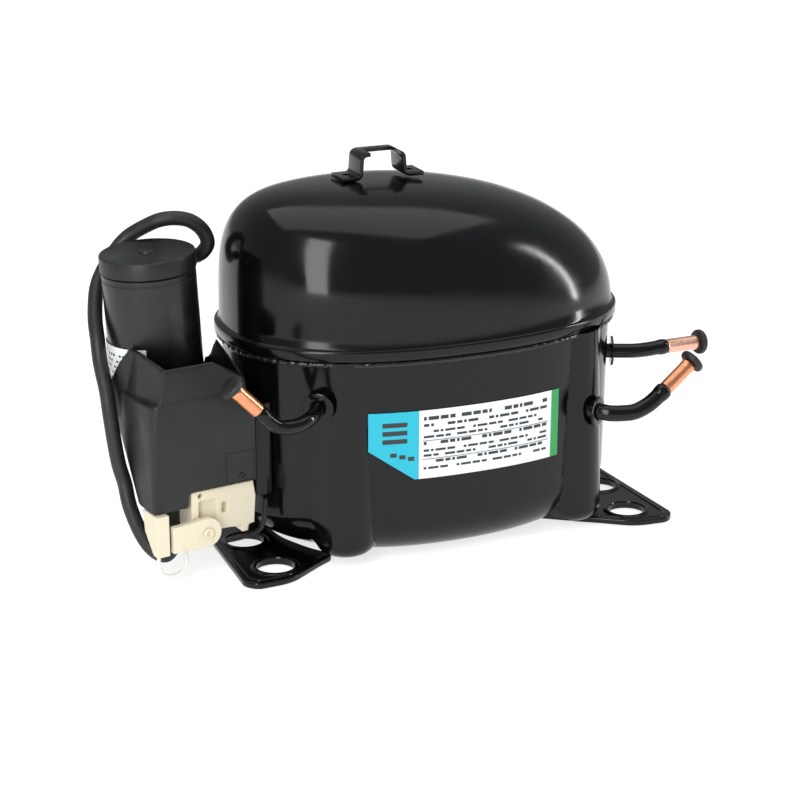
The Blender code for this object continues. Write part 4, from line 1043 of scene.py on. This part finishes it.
def mouldings():
    """The plastic mouldings, softened from their CAD solids."""
    pieces = (
        ("electrical_cover", 0.00055, 7, PLASTIC, "shell", "black_plastic"),
        ("terminal_block", 0.00030, 5, CREAM, "shell", "white_plastic"),
        ("cord_clamp_base", 0.00030, 5, CREAM, "shell", "white_plastic"),
        ("cord_clamp_arm", 0.00025, 4, CREAM, "clamp_arm", "white_plastic"),
    )
    for node, voxel, passes, material, body, slot in pieces:
        finish_piece(moulded(node, voxel, passes), material, body, slot, node, smooth=60.0)


def clamp_rivet():
    pin = [(0.0, 0.0001), (0.0009, 0.0001), (0.0011, 0.0008), (0.0014, 0.0010), (0.0018, 0.0010)]
    pin += [(0.0021, 0.0008), (0.0022, 0.0004), (0.0022, 0.0)]
    pin += [(0.0014, 0.0), (0.0014, -0.0034), (0.0012, -0.0036), (0.0, -0.0036)]
    place = BOX_PLACE @ Matrix.Translation(HINGE - Vector((0, 0.0033, 0))) @ FORWARD
    finish_piece(lathe("clamp_rivet", pin, place, 40), CREAM, "shell", "white_plastic", "clamp_pin")


def tether():
    """The nylon strand hangs in a loop below the block."""
    loop = [(-0.0455, 0.0125), (-0.0452, 0.0080), (-0.0430, 0.0042), (-0.0390, 0.0030)]
    loop += [(-0.0350, 0.0042), (-0.0330, 0.0080), (-0.0334, 0.0130)]
    route = smooth_route([(x, STRAND_Y, z) for x, z in loop], 8)
    obj = sweep("tether_strand", route, [0.0008] * len(route), BOX_PLACE, 16)
    finish_piece(obj, NYLON, "shell", "white_plastic", "tether_loop")


def cover_marks():
    """The small boss and the rounded frame moulded on the cover's front."""
    face = BOX_PLACE @ FACING_FRONT
    boss = [(0.0007, -0.0001), (0.0007, 0.0003), (0.0009, 0.0004), (0.0012, 0.0004)]
    boss += [(0.0014, 0.0003), (0.0014, -0.0001)]
    ring = lathe("cover_boss", boss, face @ Matrix.Translation((-0.0072, 0.0416, 0)), 32)
    finish_piece(ring, PLASTIC, "shell", "black_plastic")
    left, right, bottom, top = -0.0147, -0.0016, 0.0390, 0.0523
    outlines = []
    for inset in (0.0, 0.0004):
        corners = oblong(left + inset, right - inset, bottom + inset, top - inset)
        outlines.append(rounded(corners, 0.0010))
    place = face @ Matrix.Translation((0, 0, -0.00012))
    line = slab("cover_line", outlines, 0.0003, 0.0001, place)
    finish_piece(line, PLASTIC, "shell", "black_plastic")


def retaining_band():
    """The clip that holds the cover, a bent strip on edge."""
    band = [(0.0036, 0.0290), (0.0032, 0.0200), (0.0012, 0.0152), (-0.0080, 0.0138)]
    band += [(-0.0160, 0.0140)]
    centre = [Vector((x, z)) for x, z in rounded(band, 0.006, 10, closed=False)]
    upper, lower = [], []
    for k, point in enumerate(centre):
        way = (centre[min(k + 1, len(centre) - 1)] - centre[max(k - 1, 0)]).normalized()
        across = Vector((-way.y, way.x)) * 0.0008
        upper.append(tuple(point + across))
        lower.append(tuple(point - across))
    place = BOX_PLACE @ Matrix.Translation((0, 0.0020, 0)) @ FACING_FRONT
    obj = slab("retaining_band", [upper + lower[::-1]], 0.0020, 0.0003, place)
    finish_piece(obj, PLASTIC, "shell", "steel", "retaining_clip")


# The capacitor's lead, from the cap, over the top, down the left side and up into the cover.
LEAD_RADIUS = 0.0031
LEAD_ROUTE = [
    (-0.1088, 0.0134, 0.1270),
    (-0.1050, 0.0180, 0.1250),
    (-0.1000, 0.0190, 0.1230),
    (-0.0955, 0.0160, 0.1228),
    (-0.0925, 0.0130, 0.1250),
    (-0.0904, 0.0120, 0.1293),
    (-0.0926, 0.0120, 0.1349),
    (-0.0982, 0.0110, 0.1396),
    (-0.1046, 0.0115, 0.1412),
    (-0.1106, 0.0135, 0.1405),
    (-0.1154, 0.0170, 0.1377),
    (-0.1203, 0.0205, 0.1341),
    (-0.1242, 0.0215, 0.1309),
    (-0.1287, 0.0210, 0.1262),
    (-0.1340, 0.0190, 0.1199),
    (-0.1379, 0.0150, 0.1147),
    (-0.1406, 0.0090, 0.1093),
    (-0.1424, 0.0035, 0.1036),
    (-0.1434, -0.0025, 0.0971),
    (-0.1438, -0.0070, 0.0881),
    (-0.1431, -0.0115, 0.0783),
    (-0.1426, -0.0140, 0.0675),
    (-0.1417, -0.0150, 0.0573),
    (-0.1404, -0.0160, 0.0470),
    (-0.1385, -0.0170, 0.0388),
    (-0.1376, -0.0200, 0.0297),
    (-0.1346, -0.0235, 0.0193),
    (-0.1309, -0.0265, 0.0124),
    (-0.1262, -0.0285, 0.0092),
    (-0.1232, -0.0292, 0.0118),
    (-0.1222, -0.0293, 0.0180),
    (-0.1224, -0.0293, 0.0290),
    (-0.1226, -0.0292, 0.0430),
]


def capacitor_lead():
    """A round cable along its route."""
    route = [AXIS + point for point in smooth_route(LEAD_ROUTE, 6)]
    curve = bpy.data.curves.new("lead_cable", "CURVE")
    curve.dimensions = "3D"
    curve.bevel_depth = LEAD_RADIUS
    curve.bevel_resolution = 5
    curve.use_fill_caps = True
    spline = curve.splines.new("POLY")
    spline.points.add(len(route) - 1)
    for point, position in zip(spline.points, route):
        point.co = (*position, 1.0)
    spline.use_smooth = True
    obj = bpy.data.objects.new("lead_cable", curve)
    bpy.context.scene.collection.objects.link(obj)
    finish_piece(obj, RUBBER, "shell", "black_rubber", "capacitor_lead")


# ---------------- inside the shell

# The kept CAD solids that aren't bare steel.
KEPT = {
    "stator_core": LAMINATIONS,
    "lower_winding": WINDINGS,
    "upper_winding": WINDINGS,
    "cylinder_block": CAST_IRON,
    "rotor": ALUMINIUM,
    "connecting_rod": ALUMINIUM,
    "cylinder_head": ALUMINIUM,
    "suction_muffler": CREAM,
    "suction_reed": SPRING_STEEL,
    "discharge_reed": SPRING_STEEL,
    "start_relay": PLASTIC,
    "overload_protector": PLASTIC,
    "terminal_fence": PAINT,
}


def bind_between(obj, node, material):
    """Gives a piece its looks, hides the node it replaces and bakes its place into its mesh."""
    obj.data.materials.append(material)
    obj.data.shade_smooth()
    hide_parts(node)
    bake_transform(obj)


def springs():
    """Each coil keeps its foot in the shell and its head under the pump."""
    bottom = SPRING_FOOT + SPRING_WIRE
    span = SPRING_HEAD - SPRING_FOOT - 2 * SPRING_WIRE
    count = int(SPRING_TURNS * 40)
    for number in range(1, 5):
        node = f"suspension_spring_{number}"
        corner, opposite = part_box(node)
        middle = (corner + opposite) / 2
        coil = (opposite.x - corner.x) / 2 - SPRING_WIRE
        path = []
        for k in range(count + 1):
            part = k / count
            rise = span * (part + 0.045 * math.sin(2 * math.pi * part))
            angle = 2 * math.pi * SPRING_TURNS * part
            path.append((coil * math.cos(angle), coil * math.sin(angle), bottom + rise))
        obj = sweep(node + "_coil", path, [SPRING_WIRE] * len(path), None, 10)
        obj.data.transform(Matrix.Translation((middle.x, middle.y, 0.0)))
        bind_between(obj, node, SPRING_STEEL)


def discharge_line():
    """The flexible line from the block down to the discharge tube's inner end."""
    route = [
        (-0.0385, -0.0200, 0.0912),
        (-0.0388, -0.0202, 0.0872),
        (-0.0425, -0.0228, 0.0835),
        (-0.0490, -0.0282, 0.0812),
        (-0.0548, -0.0335, 0.0780),
        (-0.0573, -0.0372, 0.0735),
        (-0.0584, -0.0390, 0.0723),
    ]
    path = [AXIS + point for point in smooth_route(route, 8)]
    obj = sweep("flexible_line", path, [0.0016] * len(path), None, 16)
    bind_between(obj, "discharge_line", COPPER)


def kept_nodes():
    """The CAD solids that no piece replaces get their materials and softened edges."""
    for name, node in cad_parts.items():
        if node.hide_render:
            continue
        node.data.materials.clear()
        node.data.materials.append(KEPT.get(name, STEEL))
        weld = node.modifiers.new("weld", "WELD")
        weld.merge_threshold = 0.00001
        edges = node.modifiers.new("edges", "BEVEL")
        edges.width = 0.0003
        edges.segments = 2
        edges.angle_limit = math.radians(40)
        node.data.shade_smooth()
        node.data.set_sharp_from_angle(angle=math.radians(32))


make_camera()
make_stage()
make_light()
capacitor_lead()
lower_shell()
upper_shell()
weld_seam()
base_plates()
top_bracket()
nameplate()
for tube_name, tube_data in TUBES.items():
    tube_assembly(tube_name, tube_data)
capacitor()
mouldings()
clamp_rivet()
tether()
cover_marks()
retaining_band()
springs()
discharge_line()
kept_nodes()
